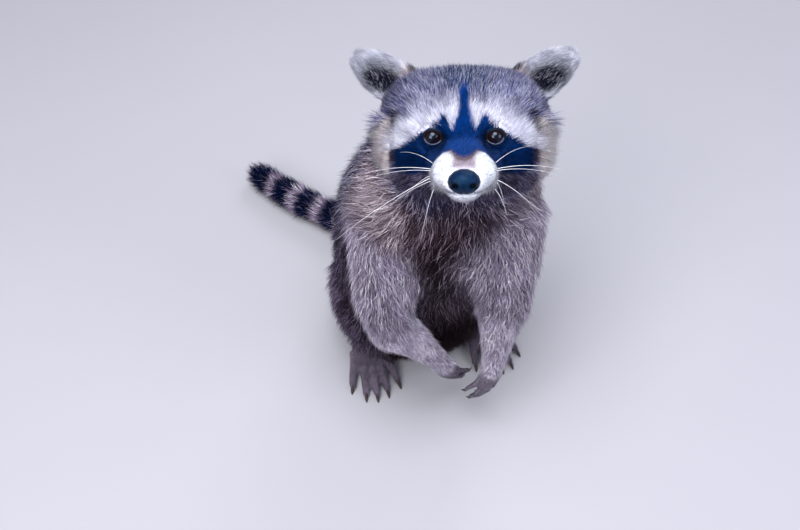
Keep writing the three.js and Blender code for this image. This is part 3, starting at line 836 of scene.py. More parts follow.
def ear_looks(looks, points, normals, weights):
    """Pale rims and warm roots of the ears, painted shade in their hollows, and the dark tufts at the ends of their
    roots.
    """
    forward = ease(normals[:, 1], 0.25, -0.25)
    for side in SIDES.values():
        up, across = ear_place(points, side)
        fields = {
            "own": ease(weights["ear"], 0.25, 0.6) * (points[:, 0] * side > 0),
            "forward": forward, "rearward": 1 - forward, "up": up, "across": across, "off_middle": np.abs(across),
        }
        tilted = up - 0.14 * (across - 0.2)
        for name, (middle_up, middle_across, half_up, half_across) in EAR_PATCHES.items():
            fields[name] = np.hypot((tilted - middle_up) / half_up, (across - middle_across) / half_across)
        for name, (middle, size) in EAR_TUFTS.items():
            fields[name] = np.linalg.norm((points - mirrored(middle, side)) / size, axis=1)
        looks = laid_on(looks, EAR_MARKINGS, fields)
    return looks


def body_looks(points, normals, weights):
    """Everything below the head, from the world place in millimetres."""
    own = placed(points, BODY_FRAME.inverted())
    facing_back = turned_by(normals, BODY_FRAME.inverted())[:, 1]
    front = ease(facing_back, 0.1, -0.45)
    fields = {
        **weights, "side": np.abs(own[:, 0]), "height": own[:, 2], "facing_back": facing_back, "front": front,
        "behind": 1 - front, "breast": weights["neck"] + weights["trunk"] * ease(own[:, 2], 120, 170),
        "lower_arm": weights["forearm"] + weights["hand"], "whole_leg": weights["thigh"] + weights["shank"],
    }
    return laid_on(np.repeat(fur("flank")[None], len(points), axis=0), BODY_MARKINGS, fields)


def tail_looks(looks, points, weights):
    """The tail's dark fur and its pale rings, from the world place in millimetres."""
    whole = sum(math.dist(a, b) for a, b in zip(TAIL_PATH, TAIL_PATH[1:]))
    from_tip = whole - path_field(points, TAIL_PATH)[2]
    off_ring = np.abs(((from_tip - TAIL_RING_AT) / TAIL_RING_STEP + 0.5) % 1 - 0.5)
    fields = {"tail": weights["tail"], "ringed": from_tip > TAIL_TIP, "off_ring": off_ring}
    return laid_on(looks, TAIL_MARKINGS, fields)


def markings(points, normals, weights):
    """The looks of places on the animal. Points are world metres; weights hold each region's share there."""
    millimetres = points / MM
    looks = body_looks(millimetres, normals, weights)
    looks = tail_looks(looks, millimetres, weights)
    own = within(points, HEAD_FRAME)
    near = weights["head"] + weights["muzzle"] + weights["lower_jaw"] + weights["ear"] > HEAD_SHARE
    near |= (weights["neck"] > HEAD_SHARE) & (own[:, 1] < NAPE_AT)
    facing = turned_by(normals, HEAD_FRAME.inverted())
    part = {name: weights[name][near] for name in weights}
    looks[near] = head_looks(looks[near], own[near], part)
    looks[near] = ear_looks(looks[near], own[near], facing[near], part)
    return looks


# ---------- skin ----------


EYE_TILT = 8  # of the outer corner over the inner one, degrees


def eye_axes(side):
    """Centre and outward, upward and forward directions of an eye, in the head's frame."""
    tilt = math.radians(EYE_TILT)
    forward = unit(mirrored(EYE_LOOK, side))
    outward = unit(mirrored((math.cos(tilt), 0, math.sin(tilt)), side))
    outward = unit(outward - forward * (outward @ forward))
    upward = unit(np.cross(forward, outward) * side)
    return mirrored(EYE_CENTRE, side), outward, upward, forward


def opening_gap(across, height):
    """Distance outside the lids' almond, in millimetres; below 0 within it. The corner by the nose is longer."""
    wide = np.where(across < 0, 0.54, 0.46) * sizes().eye_width / MM
    tall = sizes().eye_height / MM / 2
    reach = (np.abs(across) / wide) ** 1.8 + (np.abs(height) / tall) ** 2.1
    return (np.sqrt(np.maximum(reach, 1e-9)) - 1) * tall


def eye_place(points, side):
    """A point's place across, up and in front of an eye's centre, in millimetres."""
    centre, outward, upward, forward = eye_axes(side)
    offset = points - centre
    return offset @ outward, offset @ upward, offset @ forward


def eye_gap(points):
    """Distance outside the nearer eye's opening, for places in front of the eye, and far off behind it."""
    gaps = []
    for side in SIDES.values():
        across, height, before = eye_place(points, side)
        gaps.append(np.where(before > 0, opening_gap(across, height), 1e9))
    return np.minimum(*gaps)


# Round each eye, in millimetres: the fold over the opening's edge and its width and depth; how far the skin
# behind the opening lies under the eyeball's surface; where the lids run out into the face, from the eye's axis.
FOLD_AT, FOLD_WIDTH, FOLD_DEPTH = 2.6, 0.7, 0.55
WELL_DEPTH = 1.3
LIDS_END, LIDS_WHOLE = 11.5, 7.0


def shape_lids(points):
    """Draws the skin over each eyeball as lids round an almond opening, with a fold above the upper one."""
    cap = EYE_RADIUS + sizes().lid_thickness / MM
    for side in SIDES.values():
        across, height, depth = eye_place(points, side)
        reach = np.hypot(across, height)
        gap = opening_gap(across, height)
        # the lids' ball and the well's, each cut off near its own rim, where it would fall away too steeply
        lid = np.sqrt(np.maximum(cap**2 - reach**2, 6))
        fold = bell((gap, FOLD_AT, FOLD_WIDTH)) * ease(height, 0.5, 3) * FOLD_DEPTH
        well = np.sqrt(np.maximum(EYE_RADIUS**2 - reach**2, 4)) - WELL_DEPTH
        target = (lid - fold) * ease(gap, -0.75, 0.15) + well * ease(gap, 0.15, -0.75)
        move = np.where(depth > -2, (target - depth) * ease(reach, LIDS_END, LIDS_WHOLE), 0)
        points = points + move[:, None] * eye_axes(side)[3]
    return points


EAR = REGIONS.index("ear")
RUFF_LENGTH = 17  # of its tufts, mm
RUFF_DEPTH = 3.2  # that the cheeks' ruff adds to the depth of the coat, mm
RUFF_LIFT = 10  # that it adds to the lift of its tufts, degrees
DIGIT_DEPTH = 0.35  # of bare leather inside the solids, mm
SKIN_OFF_FLOOR = 0.1  # mm
SKIN_FACES = 160000  # that the skin may have before the lids are refined
LONG_COAT = 3.5  # depth of the coat over which the skin may have fewer cells, mm
LIPS_WIDTH, LIPS_DEPTH = 0.9, 1.6  # of the line between the lips, mm
PHILTRUM_WIDTH, PHILTRUM_DEPTH = 0.7, 0.9  # of the groove below the nose, mm
# Before the flesh is made one surface, mm: how far its nodes grow, so that they run into each other, how far the
# nose shrinks under its pad, and how far the fillers of the eyes stand out of the eyeballs.
FLESH_GROWS, NOSE_GROWS, EYE_FILLER = 0.35, -1.2, 1
EYE_CELLS = (15, 11)  # radii round the lids within which the skin's cells are halved, mm
# Rounds of averaging: of the regions' shares, of the bare digits' edge, of the creases under the coat, of the
# way inwards and of the lie of the hair.
REGION_ROUNDS, DIGIT_ROUNDS, CREASE_ROUNDS, INWARD_ROUNDS, LIE_ROUNDS = 22, 2, 20, 4, 8


def shape_mouth(points, normals):
    """Presses in the line between the lips and the groove below the nose."""
    x, y, z = points.T
    lips = bell((z, lip_line(y), LIPS_WIDTH)) * ease(y, -6, -14) * ease(np.abs(x), 24, 20)
    philtrum = bell((x, 0, PHILTRUM_WIDTH)) * ease(y, -40, -46) * ease(z, -26, -29) * ease(z, -36, -33)
    return points - normals * (LIPS_DEPTH * lips + PHILTRUM_DEPTH * philtrum)[:, None]


def nearest_regions(points):
    """The region of the flesh node nearest to each point, as one column per region."""
    corners, faces, owners = [], [], []
    for node in FLESH:
        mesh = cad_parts[node].data
        start = len(corners)
        corners += [vertex.co for vertex in mesh.vertices]
        faces += [[start + index for index in face.vertices] for face in mesh.polygons]
        owners += [REGIONS.index(region_of(node))] * len(mesh.polygons)
    tree = BVHTree.FromPolygons(corners, faces)
    found = [owners[tree.find_nearest(point)[2]] for point in points.tolist()]
    return np.eye(len(REGIONS))[found]


def cover_field(shares, name):
    """One column of COVERS as a smooth value at each vertex."""
    return shares @ np.array([getattr(COVERS[region], name) for region in REGIONS])


def join_flesh():
    """The flesh nodes, with the nose and eyeballs filled in, as one closed surface of even cells."""
    parts = [grown(copy_of_node(node), FLESH_GROWS) for node in FLESH]
    parts.append(grown(copy_of_node("nose"), NOSE_GROWS))
    for side in SIDES.values():
        centre = placed([mirrored(EYE_CENTRE, side)], HEAD_FRAME)[0] * MM
        radius = (EYE_RADIUS + EYE_FILLER) * MM
        bpy.ops.mesh.primitive_uv_sphere_add(segments=32, ring_count=16, radius=radius, location=centre)
        parts.append(bpy.context.object)
    skin = joined(parts, "skin")
    applied(skin, "REMESH", mode="VOXEL", voxel_size=sizes().voxel)
    return skin


def thin_under_coat(skin):
    """Takes cells out where the coat is long, and leaves the face, ears and paws their own."""
    points = coordinates(skin.data)
    shares = nearest_regions(points)
    long_coat = shares @ np.array([COVERS[region].depth > LONG_COAT for region in REGIONS], float)
    long_coat = np.maximum(long_coat, ease(within(points, HEAD_FRAME)[:, 1], 40, 50) * (1 - shares[:, EAR]))
    group = skin.vertex_groups.new(name="long_coat")
    group.add(np.flatnonzero(long_coat > 0.5).tolist(), 1.0, "REPLACE")
    faces = sum(len(face.vertices) - 2 for face in skin.data.polygons)
    if faces > SKIN_FACES:
        applied(skin, "DECIMATE", ratio=SKIN_FACES / faces, vertex_group=group.name, vertex_group_factor=1.0)
    skin.vertex_groups.clear()


def before_eye(side):
    """A place 5 mm in front of an eye's centre, between its lids, in world metres."""
    centre, _, _, forward = eye_axes(side)
    return placed([centre + forward * 5], HEAD_FRAME)[0] * MM


def refine_eyes(skin):
    """Halves the cells round the eyes twice, so that the lids have room for their edges."""
    centres = [before_eye(side) for side in SIDES.values()]
    for radius in EYE_CELLS:
        only(skin)
        bpy.ops.object.mode_set(mode="EDIT")
        edit = bmesh.from_edit_mesh(skin.data)
        bpy.ops.mesh.select_all(action="DESELECT")
        for face in edit.faces:
            middle = np.array(face.calc_center_median())
            face.select = any(np.linalg.norm(middle - centre) < radius * MM for centre in centres)
        edit.select_flush_mode()
        bmesh.update_edit_mesh(skin.data)
        bpy.ops.mesh.subdivide(number_cuts=1)
        bpy.ops.object.mode_set(mode="OBJECT")


def lie_of_coat(points, normals, weights):
    """The direction that the hair lies in at each vertex, in the world."""
    world = points / MM
    own_head, own_body = within(points, HEAD_FRAME), placed(world, BODY_FRAME.inverted())
    facing_back = turned_by(normals, BODY_FRAME.inverted())[:, 1]

    def everywhere(direction, matrix):
        return turned_by(np.repeat([direction], len(points), axis=0), matrix)

    # over the head from the nose backwards, and on the cheeks outwards and down as well
    side = np.sign(own_head[:, 0])
    from_nose = unit(own_head - np.array([0, -50, -17])) + np.array([0, 0.35, 0])
    flare = columns(side * ease(np.abs(own_head[:, 0]), 20, 50) * 0.7, 0.3, -0.25)
    head = turned_by(from_nose + flare * ease(own_head[:, 2], 5, -20)[:, None], HEAD_FRAME)
    # down the spine, and outwards on the breast, most of all at the throat
    outward = np.clip(own_body[:, 0] / 32, -1, 1) * ease(facing_back, 0.5, -0.3)
    spread = 0.35 + 0.75 * ease(own_body[:, 2], 150, 235)
    torso = turned_by(path_field(own_body, SPINE)[0] + columns(outward * spread, 0, 0), BODY_FRAME)
    # down the limbs, and out to the tips of ears, toes and tail
    arms = {label: path_field(world, path)[0] for label, path in ARMS.items()}
    arm = np.where(on_left_arm(world)[:, None], arms["left"], arms["right"])
    legs = {label: path_field(own_body, leg_path(side))[0] for label, side in SIDES.items()}
    leg = turned_by(np.where((own_body[:, 0] > 0)[:, None], legs["left"], legs["right"]), BODY_FRAME)
    lies = {
        "head": head, "muzzle": turned_by(from_nose, HEAD_FRAME), "neck": torso, "trunk": torso,
        "lower_jaw": everywhere([0, 1.0, -0.4], HEAD_FRAME),
        "ear": turned_by(columns(side, 1, 1) * EAR_LEAN, HEAD_FRAME),
        "upper_arm": arm, "forearm": arm, "hand": arm, "thigh": leg + torso * 0.8,
        "shank": everywhere([0, -0.5, -1.0], BODY_FRAME), "foot": everywhere([0, -1.0, -0.15], BODY_FRAME),
        "tail": path_field(world, TAIL_PATH)[0],
    }
    total = sum(unit(lies[region]) * weights[region][:, None] for region in REGIONS)
    return flattened(total, normals)


def bare_face(own):
    """1 in the openings of the eyes and under the nose pad, from places in the head's frame."""
    nose = np.linalg.norm((own - NOSE_CENTRE) / np.array(NOSE_RADII), axis=1)
    return np.maximum(ease(eye_gap(own), 1.4, 0.8), ease(nose, 1.1, 1.0))


def along_hand(points, label):
    """How far along a hand a world place in millimetres lies, from its wrist, and whether it is of that hand."""
    wrist, reach = np.array(ARMS[label][2], float), np.array(ARMS[label][3], float)
    return (points - wrist) @ unit(reach - wrist), on_left_arm(points) == (label == "left")


def bare_paws(points, normals, weights):
    """1 on palms, soles and the undersides and tips of the digits, from world places in millimetres."""
    bare = np.zeros(len(points))
    for label, back in HAND_BACKS.items():
        along, own = along_hand(points, label)
        under = ease(normals @ unit(np.array(back)), 0.05, -0.25)
        bare = np.maximum(bare, weights["hand"] * own * np.maximum(ease(along, 46, 51), under))
    own = placed(points, BODY_FRAME.inverted())
    toes = ease(own[:, 1], -80, -88) + ease(own[:, 1], -52, -62) * ease(normals[:, 2], 0.35, 0.0)
    sole = ease(normals[:, 2], -0.35, -0.6)
    return np.clip(np.maximum(bare, weights["foot"] * np.maximum(toes, sole)), 0, 1)


def digit_colours(colours, points, weights):
    """Dark leather on palms, soles and digits, pinkish towards the tips."""
    c = tints()
    world = points / MM
    tips = np.zeros(len(points))
    for label in ARMS:
        along, own = along_hand(world, label)
        tips = np.maximum(tips, ease(along, 40, 50) * own * weights["hand"])
    tips = np.maximum(tips, ease(placed(world, BODY_FRAME.inverted())[:, 1], -78, -88) * weights["foot"])
    leather = mixed(np.array(c.paw), tips, np.array(c.paw_tip))
    return mixed(colours, weights["hand"] + weights["foot"], leather)


def lid_colours(colours, own):
    """A dark rim round each eye, with a painted highlight along the moist edge of its lower lid."""
    c = tints()
    for side in SIDES.values():
        across, height, front = eye_place(own, side)
        gap = opening_gap(across, height)
        colours = mixed(colours, ease(gap, 1.9, 1.0) * (front > 0), np.array(c.lid))
        # painted highlight along the moist edge of the lower lid
        wet = ease(np.abs(gap - 0.1), 0.5, 0.15) * ease(height, -0.5, -2.5) * (front > 0) * 0.5
        colours = mixed(colours, wet, np.array(c.lid_highlight))
    return colours


class RACCOON_OT_skin(bpy.types.Operator):
    """Makes the one skin under the whole coat, with its lids and lips, and works out how the coat lies on it"""

    bl_idname = "raccoon.skin"
    bl_label = "Skin"

    def execute(self, context):
        skin = join_flesh()
        thin_under_coat(skin)
        refine_eyes(skin)
        mesh = skin.data
        net = Net(mesh)
        points = coordinates(mesh)
        shares = net.smoothed(nearest_regions(points), REGION_ROUNDS)
        weights = by_region(shares)
        digits = net.smoothed(bare_paws(points / MM, normals_of(mesh), weights)[:, None], DIGIT_ROUNDS)
        rounding = cover_field(shares, "smooth")[:, None]
        for _ in range(CREASE_ROUNDS):
            points = points + (net.averaged(points) - points) * 0.6 * rounding
        set_coordinates(mesh, points)
        # in from the tips of the coat to the skin under it
        inward = unit(net.smoothed(normals_of(mesh), INWARD_ROUNDS))
        rim = rim_of_face(within(points, HEAD_FRAME))[:, None]
        depth = cover_field(shares, "depth")[:, None] * (1 - digits) + DIGIT_DEPTH * digits + RUFF_DEPTH * rim
        points = points - inward * depth * MM
        set_coordinates(mesh, net.smoothed(points, 1, 0.3))
        own = within(coordinates(mesh), HEAD_FRAME)
        own = shape_lids(shape_mouth(own, turned_by(normals_of(mesh), HEAD_FRAME.inverted())))
        points = placed(own, HEAD_FRAME) * MM
        points[:, 2] = np.maximum(points[:, 2], SKIN_OFF_FLOOR * MM)
        set_coordinates(mesh, points)
        mesh.shade_smooth()
        points, normals = coordinates(mesh), normals_of(mesh)
        lie = flattened(net.smoothed(lie_of_coat(points, normals, weights), LIE_ROUNDS), normals)
        looks = markings(points, normals, weights)
        bare = np.maximum(bare_face(own), digits[:, 0])
        furred = looks[:, UNDER] * 0.75 + looks[:, OVER] * 0.25
        leather = digit_colours(looks[:, UNDER] * 0.8, points, weights)
        paint(mesh, "coat", lid_colours(mixed(furred, bare, leather), own))
        measure(mesh, "furred", 1 - bare)
        mesh.materials.append(skin_material())
        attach(skin, "root")
        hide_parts(*FLESH)
        PELT.update(skin=skin, net=net, points=points, normals=normals, lay_along=lie, shares=shares, bare=bare)
        return {"FINISHED"}


# ---------- eyes, nose, claws and whiskers ----------

# The cornea's rise, mm, and where it begins and is whole, as shares of the way from the ball's middle to its front.
CORNEA_RISE, CORNEA_EDGE, CORNEA_WHOLE = 0.45, 0.72, 0.95


class RACCOON_OT_eyes(bpy.types.Operator):
    """Makes the two wet eyeballs, each with its pupil and iris turned to where it looks"""

    bl_idname = "raccoon.eyes"
    bl_label = "Eyes"

    def execute(self, context):
        finish = eye_material()
        for label, side in SIDES.items():
            centre, _, _, forward = eye_axes(side)
            where = placed([centre], HEAD_FRAME)[0] * MM
            look_at = Vector(turned_by([forward], HEAD_FRAME)[0])
            turn = look_at.to_track_quat("Z", "Y").to_euler()
            none_selected()
            bpy.ops.mesh.primitive_uv_sphere_add(
                segments=64, ring_count=48, radius=EYE_RADIUS * MM, location=where, rotation=turn
            )
            eye = bpy.context.object
            eye.name = f"eyeball_{label}"
            bpy.ops.object.transform_apply(location=True, rotation=True, scale=True)
            # the cornea stands a little out of the ball, over the iris
            points = coordinates(eye.data)
            front = (points - where) @ np.array(look_at) / (EYE_RADIUS * MM)
            bulge = ease(front, CORNEA_EDGE, CORNEA_WHOLE) * CORNEA_RISE * MM
            set_coordinates(eye.data, points + bulge[:, None] * np.array(look_at))
            bpy.ops.object.shade_smooth()
            eye.data.materials.append(finish)
            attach(eye, "root")
            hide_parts(f"eye_{label}")
        return {"FINISHED"}


class RACCOON_OT_nose(bpy.types.Operator):
    """Makes the nose's leather pad, with its comma-shaped nostrils and the groove down its middle"""

    bl_idname = "raccoon.nose"
    bl_label = "Nose"

    def execute(self, context):
        nose = copy_of_node("nose")
        nose.name = nose.data.name = "nose_pad"
        applied(nose, "REMESH", mode="VOXEL", voxel_size=0.5 * MM)
        applied(nose, "SMOOTH", factor=0.6, iterations=6)
        mesh = nose.data
        points = within(coordinates(mesh), HEAD_FRAME)
        normals = turned_by(normals_of(mesh), HEAD_FRAME.inverted())
        x, y, z = points.T
        side, front = np.abs(x), ease(y, -50, -55)
        # middles and widths across the pad and up it, mm: the groove, each nostril's curled slit, its wing, and the
        # dark hollow of each nostril, where shade is painted
        groove = bell((x, 0, 0.75)) * front * ease(z, -21, -25)
        curl = bell((side, 8.6, 1.8), (z - 0.25 * (side - 8), -25.2, 0.8)) * front
        wing = bell((side, 7.8, 2.6), (z, -20.4, 1.8)) * front
        nostril = bell((side, 6.4, 2.8), (z, -23.3, 2.2)) * front
        points = points + normals * (0.5 * wing - 1.0 * groove - 1.1 * curl)[:, None]
        set_coordinates(mesh, placed(points, HEAD_FRAME) * MM)
        # painted shade in the slits, the groove and the nostrils' hollows, which the material darkens
        measure(mesh, "pit_shade", np.clip(curl * 1.2 + groove * 0.4 + nostril * 1.4, 0, 1))
        mesh.shade_smooth()
        mesh.materials.append(nose_material())
        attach(nose, "root")
        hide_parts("nose")
        return {"FINISHED"}


class RACCOON_OT_claws(bpy.types.Operator):
    """Gives every claw its horn"""

    bl_idname = "raccoon.claws"
    bl_label = "Claws"

    def execute(self, context):
        horn = claw_material()
        for name in CLAWS:
            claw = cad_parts[name]
            claw.data.materials.clear()
            claw.data.materials.append(horn)
        return {"FINISHED"}


# Each whisker: its root, its tip and its thickness as a share, on the left of the head's frame for both sides.
WHISKERS = {
    "right": [
        ((22.6, -36, -16.4), (70, -16, -21), 1.0),
        ((22.4, -35.5, -17.8), (69, -12, -24.5), 0.9),
        ((21.3, -35, -12.5), (43, -22, -4.5), 0.7),
        ((23.3, -32, -23.7), (94, -6, -72), 1.15),
        ((22.8, -33, -25.5), (58, -14, -50), 0.75),
        ((23, -32, -22), (40, -22, -38), 0.7),
        ((20.8, -30, -32), (29, -27, -66), 0.9),
    ],
    "left": [
        ((22.6, -36, -16.4), (67, -16, -20), 1.0),
        ((22.4, -35.5, -17.8), (64, -12, -23), 0.9),
        ((21.3, -35, -12.5), (46, -20, -1.5), 0.7),
        ((22.4, -32, -25), (52, -15, -51), 1.0),
        ((22.6, -32, -27), (30, -26, -42), 0.7),
        ((21, -30, -32), (28, -27, -50), 0.9),
    ],
}
BROW_WHISKERS = [((15, -3, 15), (22, -8, 31), 0.6), ((18, -2, 14), (31, -8, 27), 0.6)]
WHISKER_SIDES = 5
WHISKER_STEPS = 10
WHISKER_TAPER = 0.72  # share of its thickness that a whisker loses by its tip
WHISKER_DROOP = 2.5  # of its tip below a straight line, mm
WHISKER_STRAY = 1.0  # of its tip from its place, mm


def whisker_tube(root, tip, girth):
    """The vertices and triangles of one tapering whisker that rises from its chord and droops to its tip."""
    share = np.linspace(0, 1, WHISKER_STEPS)[:, None]
    line = np.array(root) * (1 - share) + np.array(tip) * share
    line[:, 2] += (4 * WHISKER_DROOP * share * (1 - share) - WHISKER_DROOP * share)[:, 0]
    along = unit(np.gradient(line, axis=0))
    one = unit(np.cross(along, [0, 0, 1.0]))
    other = np.cross(along, one)
    girth = girth / 2 * (1 - WHISKER_TAPER * share)
    turns = np.arange(WHISKER_SIDES) / WHISKER_SIDES * 2 * math.pi
    rings = [line + girth * (one * math.cos(t) + other * math.sin(t)) for t in turns]
    points = np.stack(rings, axis=1).reshape(-1, 3)
    faces = []
    for step in range(WHISKER_STEPS - 1):
        for k in range(WHISKER_SIDES):
            a, b = step * WHISKER_SIDES + k, step * WHISKER_SIDES + (k + 1) % WHISKER_SIDES
            faces += [(a, b, b + WHISKER_SIDES), (a, b + WHISKER_SIDES, a + WHISKER_SIDES)]
    last = (WHISKER_STEPS - 1) * WHISKER_SIDES
    faces += [(0, k + 1, k) for k in range(1, WHISKER_SIDES - 1)]
    faces += [(last, last + k, last + k + 1) for k in range(1, WHISKER_SIDES - 1)]
    return points, np.array(faces)


class RACCOON_OT_whiskers(bpy.types.Operator):
    """Sets the whiskers in the sides of the muzzle and over the eyes"""

    bl_idname = "raccoon.whiskers"
    bl_label = "Whiskers"

    def execute(self, context):
        draw = np.random.default_rng(SEED + 1)
        points, faces, count = [], [], 0
        for label, side in SIDES.items():
            for root, tip, share in WHISKERS[label] + BROW_WHISKERS:
                end = np.array(tip) + draw.normal(0, WHISKER_STRAY, 3)
                girth = share * sizes().whisker_girth / MM
                tube, triangles = whisker_tube(mirrored(root, side), mirrored(end, side), girth)
                points.append(tube)
                faces.append(triangles + count)
                count += len(tube)
        mesh = mesh_of("whiskers", placed(np.concatenate(points), HEAD_FRAME) * MM, np.concatenate(faces))
        mesh.materials.append(whisker_material())
        whiskers = new_piece("whiskers", mesh)
        only(whiskers)
        bpy.ops.object.mode_set(mode="EDIT")
        bpy.ops.mesh.select_all(action="SELECT")
        bpy.ops.mesh.normals_make_consistent(inside=False)
        bpy.ops.object.mode_set(mode="OBJECT")
        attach(whiskers, "root")
        return {"FINISHED"}


# ---------- coat ----------

TUFT_SIDES = 3
TUFT_ANGLES = [math.radians(90), math.radians(210), math.radians(330)]
TUFT_FLATNESS = 0.6  # a tuft's thickness for its width
TUFT_GIRTHS = {1: [1.0], 2: [0.75, 1.0]}  # at each ring, from the root
SUNK = 0.6  # how far a root is set into the skin, mm
SHOWN = 0.45  # where along a tuft its marking is read, as a share of its length
PATCH = 0.003  # width of a tuft's patch on the unwrap of the skin
FLOOR_GAP = 0.3  # that the coat keeps from the floor, mm
SQUARE_CM = 1e4  # in a square metre
LOCK_LIMIT = 0.45  # how far a tuft is drawn into its lock at most, as a share of its length
WANDER_OF_PATCH, WANDER_OF_HAIR = 1.1, 0.45  # share of the ruffle that neighbours have in common, and their own
BEND, SWAY = 0.42, 0.3  # how far a tuft turns from its root to its tip, and there and back, radians
WAVES = {"wander": 80, "patch": 14}  # rounds of averaging that make the patches of ruffle and of tone
TONE_OF_HAIR = 0.28  # how far single tufts stray in tone, and whole patches of them
TONE_OF_PATCH = 0.16

# A layer of a coat: the columns of COVERS for its count and width, the rings of a tuft, its length as a share
# of the guard hair's, how much of its tip's colour is the underfur's, and how dark its root is, partly as the
# hair's own dark base and partly as painted shade in the gaps between locks.
Layer = namedtuple("Layer", "count width rings reach dull root")
GUARD = Layer("guards", "guard_width", 2, 1.0, 0.0, 0.7)
DOWN = Layer("downs", "down_width", 1, 0.62, 0.6, 0.6)
SHORT = Layer("guards", "guard_width", 1, 1.0, 0.0, 0.75)

# Each piece of the coat: its slot, its layers, how strongly tips gather in locks, and how many make a lock.
Fleece = namedtuple("Fleece", "slot layers gather lock")
FLEECES = {
    "coat_face": Fleece("face_fur", [SHORT], 0.3, 12),
    "coat_crown": Fleece("face_fur", [SHORT], 0.3, 12),
    "coat_muzzle": Fleece("white_fur", [SHORT], 0.15, 12),
    "coat_ears": Fleece("face_fur", [SHORT], 0.2, 12),
    "coat_ruff": Fleece("grizzled_fur", [DOWN, GUARD], 0.5, 14),
    "coat_nape": Fleece("grizzled_fur", [DOWN, GUARD], 0.45, 12),
    "coat_chest": Fleece("grizzled_fur", [DOWN, GUARD], 0.5, 12),
    "coat_back": Fleece("grizzled_fur", [DOWN, GUARD], 0.45, 12),
    "coat_arm_left": Fleece("grizzled_fur", [DOWN, GUARD], 0.4, 10),
    "coat_arm_right": Fleece("grizzled_fur", [DOWN, GUARD], 0.4, 10),
    "coat_leg_left": Fleece("grizzled_fur", [DOWN, GUARD], 0.4, 10),
    "coat_leg_right": Fleece("grizzled_fur", [DOWN, GUARD], 0.4, 10),
    "coat_paws": Fleece("grizzled_fur", [SHORT], 0.15, 12),
    "coat_tail": Fleece("tail_fur", [DOWN, GUARD], 0.35, 10),
}


def fleece_of_faces(corners, middles, facing):
    """The piece of the coat that each face of the skin grows."""
    shares = PELT["shares"][corners].mean(axis=1)
    region = np.array(REGIONS)[shares.argmax(axis=1)]
    head = within(middles, HEAD_FRAME)
    body = placed(middles / MM, BODY_FRAME.inverted())
    forward = turned_by(facing, BODY_FRAME.inverted())[:, 1] < 0.05
    left_arm = on_left_arm(middles / MM)
    left = body[:, 0] > 0
    of_head = np.isin(region, ["head", "muzzle", "lower_jaw"])
    conditions = [
        (np.isin(region, ["muzzle", "lower_jaw"]) & (head[:, 1] < 2), "coat_muzzle"),
        (of_head & (head[:, 1] < 18), "coat_face"),
        (of_head, "coat_crown"),
        (region == "ear", "coat_ears"),
        ((region == "neck") & forward, "coat_ruff"),
        (region == "neck", "coat_nape"),
        ((region == "trunk") & forward, "coat_chest"),
        (region == "trunk", "coat_back"),
        (np.isin(region, ["hand", "foot"]), "coat_paws"),
        (np.isin(region, ["upper_arm", "forearm"]) & left_arm, "coat_arm_left"),
        (np.isin(region, ["upper_arm", "forearm"]), "coat_arm_right"),
        (np.isin(region, ["thigh", "shank"]) & left, "coat_leg_left"),
        (np.isin(region, ["thigh", "shank"]), "coat_leg_right"),
    ]
    return np.select([test for test, _ in conditions], [name for _, name in conditions], "coat_tail")


def unwrapped(corners):
    """The skin's faces of one piece of the coat, laid flat: a place on the map for each of their corners."""
    used, renumbered = np.unique(corners, return_inverse=True)
    mesh = mesh_of("unwrap", PELT["points"][used], renumbered.reshape(-1, 3))
    piece = only(new_piece("unwrap", mesh))
    bpy.ops.object.mode_set(mode="EDIT")
    bpy.ops.mesh.select_all(action="SELECT")
    bpy.ops.uv.smart_project(angle_limit=math.radians(66), island_margin=0.004)
    bpy.ops.object.mode_set(mode="OBJECT")
    flat = np.empty(len(mesh.loops) * 2, np.float32)
    mesh.uv_layers.active.data.foreach_get("uv", flat)
    bpy.data.objects.remove(piece)
    bpy.data.meshes.remove(mesh)
    return flat.reshape(-1, 3, 2)


def roots_on(areas, counts, draw):
    """Faces and places in them for roots spread evenly at so many a square centimetre."""
    total = np.cumsum(areas * counts)
    count = int(total[-1])
    steps = (np.arange(count) + draw.random(count)) / count * total[-1]
    faces = np.minimum(np.searchsorted(total, steps), len(areas) - 1)
    one, other = draw.random((2, count))
    folded = one + other > 1
    one, other = np.where(folded, 1 - one, one), np.where(folded, 1 - other, other)
    return faces, np.stack([1 - one - other, one, other], axis=1)


def gathered(lines, lock, gather):
    """Draws each tuft's line towards the leader of its lock, more and more towards the tip."""
    roots = lines[0]
    leaders = np.arange(0, len(roots), lock)
    tree = KDTree(len(leaders))
    for index, leader in enumerate(leaders):
        tree.insert(roots[leader], index)
    tree.balance()
    own = leaders[[tree.find(point)[1] for point in roots.tolist()]]
    moved = [lines[0]]
    for step in range(1, len(lines)):
        share = (step / (len(lines) - 1)) ** 1.5 * gather
        offset = lines[step][own] - lines[step]
        reach = np.linalg.norm(offset, axis=1, keepdims=True)
        limit = LOCK_LIMIT * np.linalg.norm(lines[-1] - lines[0], axis=1, keepdims=True)
        moved.append(lines[step] + offset * share * np.minimum(1, limit / np.maximum(reach, 1e-9)))
    return moved


def tuft_lines(root, normal, along, reach, lift, lie, bend, sway, rings):
    """The middle line of each tuft, which leaves the skin at lift and ends at lie, as rings + 1 sets of points."""
    across = np.cross(normal, along)
    lines = [root - normal * SUNK * MM]
    for ring in range(rings):
        share = (ring + 0.5) / rings
        angle = (lift + (lie - lift) * share)[:, None]
        turn = (bend * share + sway * (1 - 2 * (ring % 2)))[:, None]
        flat = along * np.cos(turn) + across * np.sin(turn)
        lines.append(lines[-1] + (flat * np.cos(angle) + normal * np.sin(angle)) * reach[:, None] / rings)
    return lines


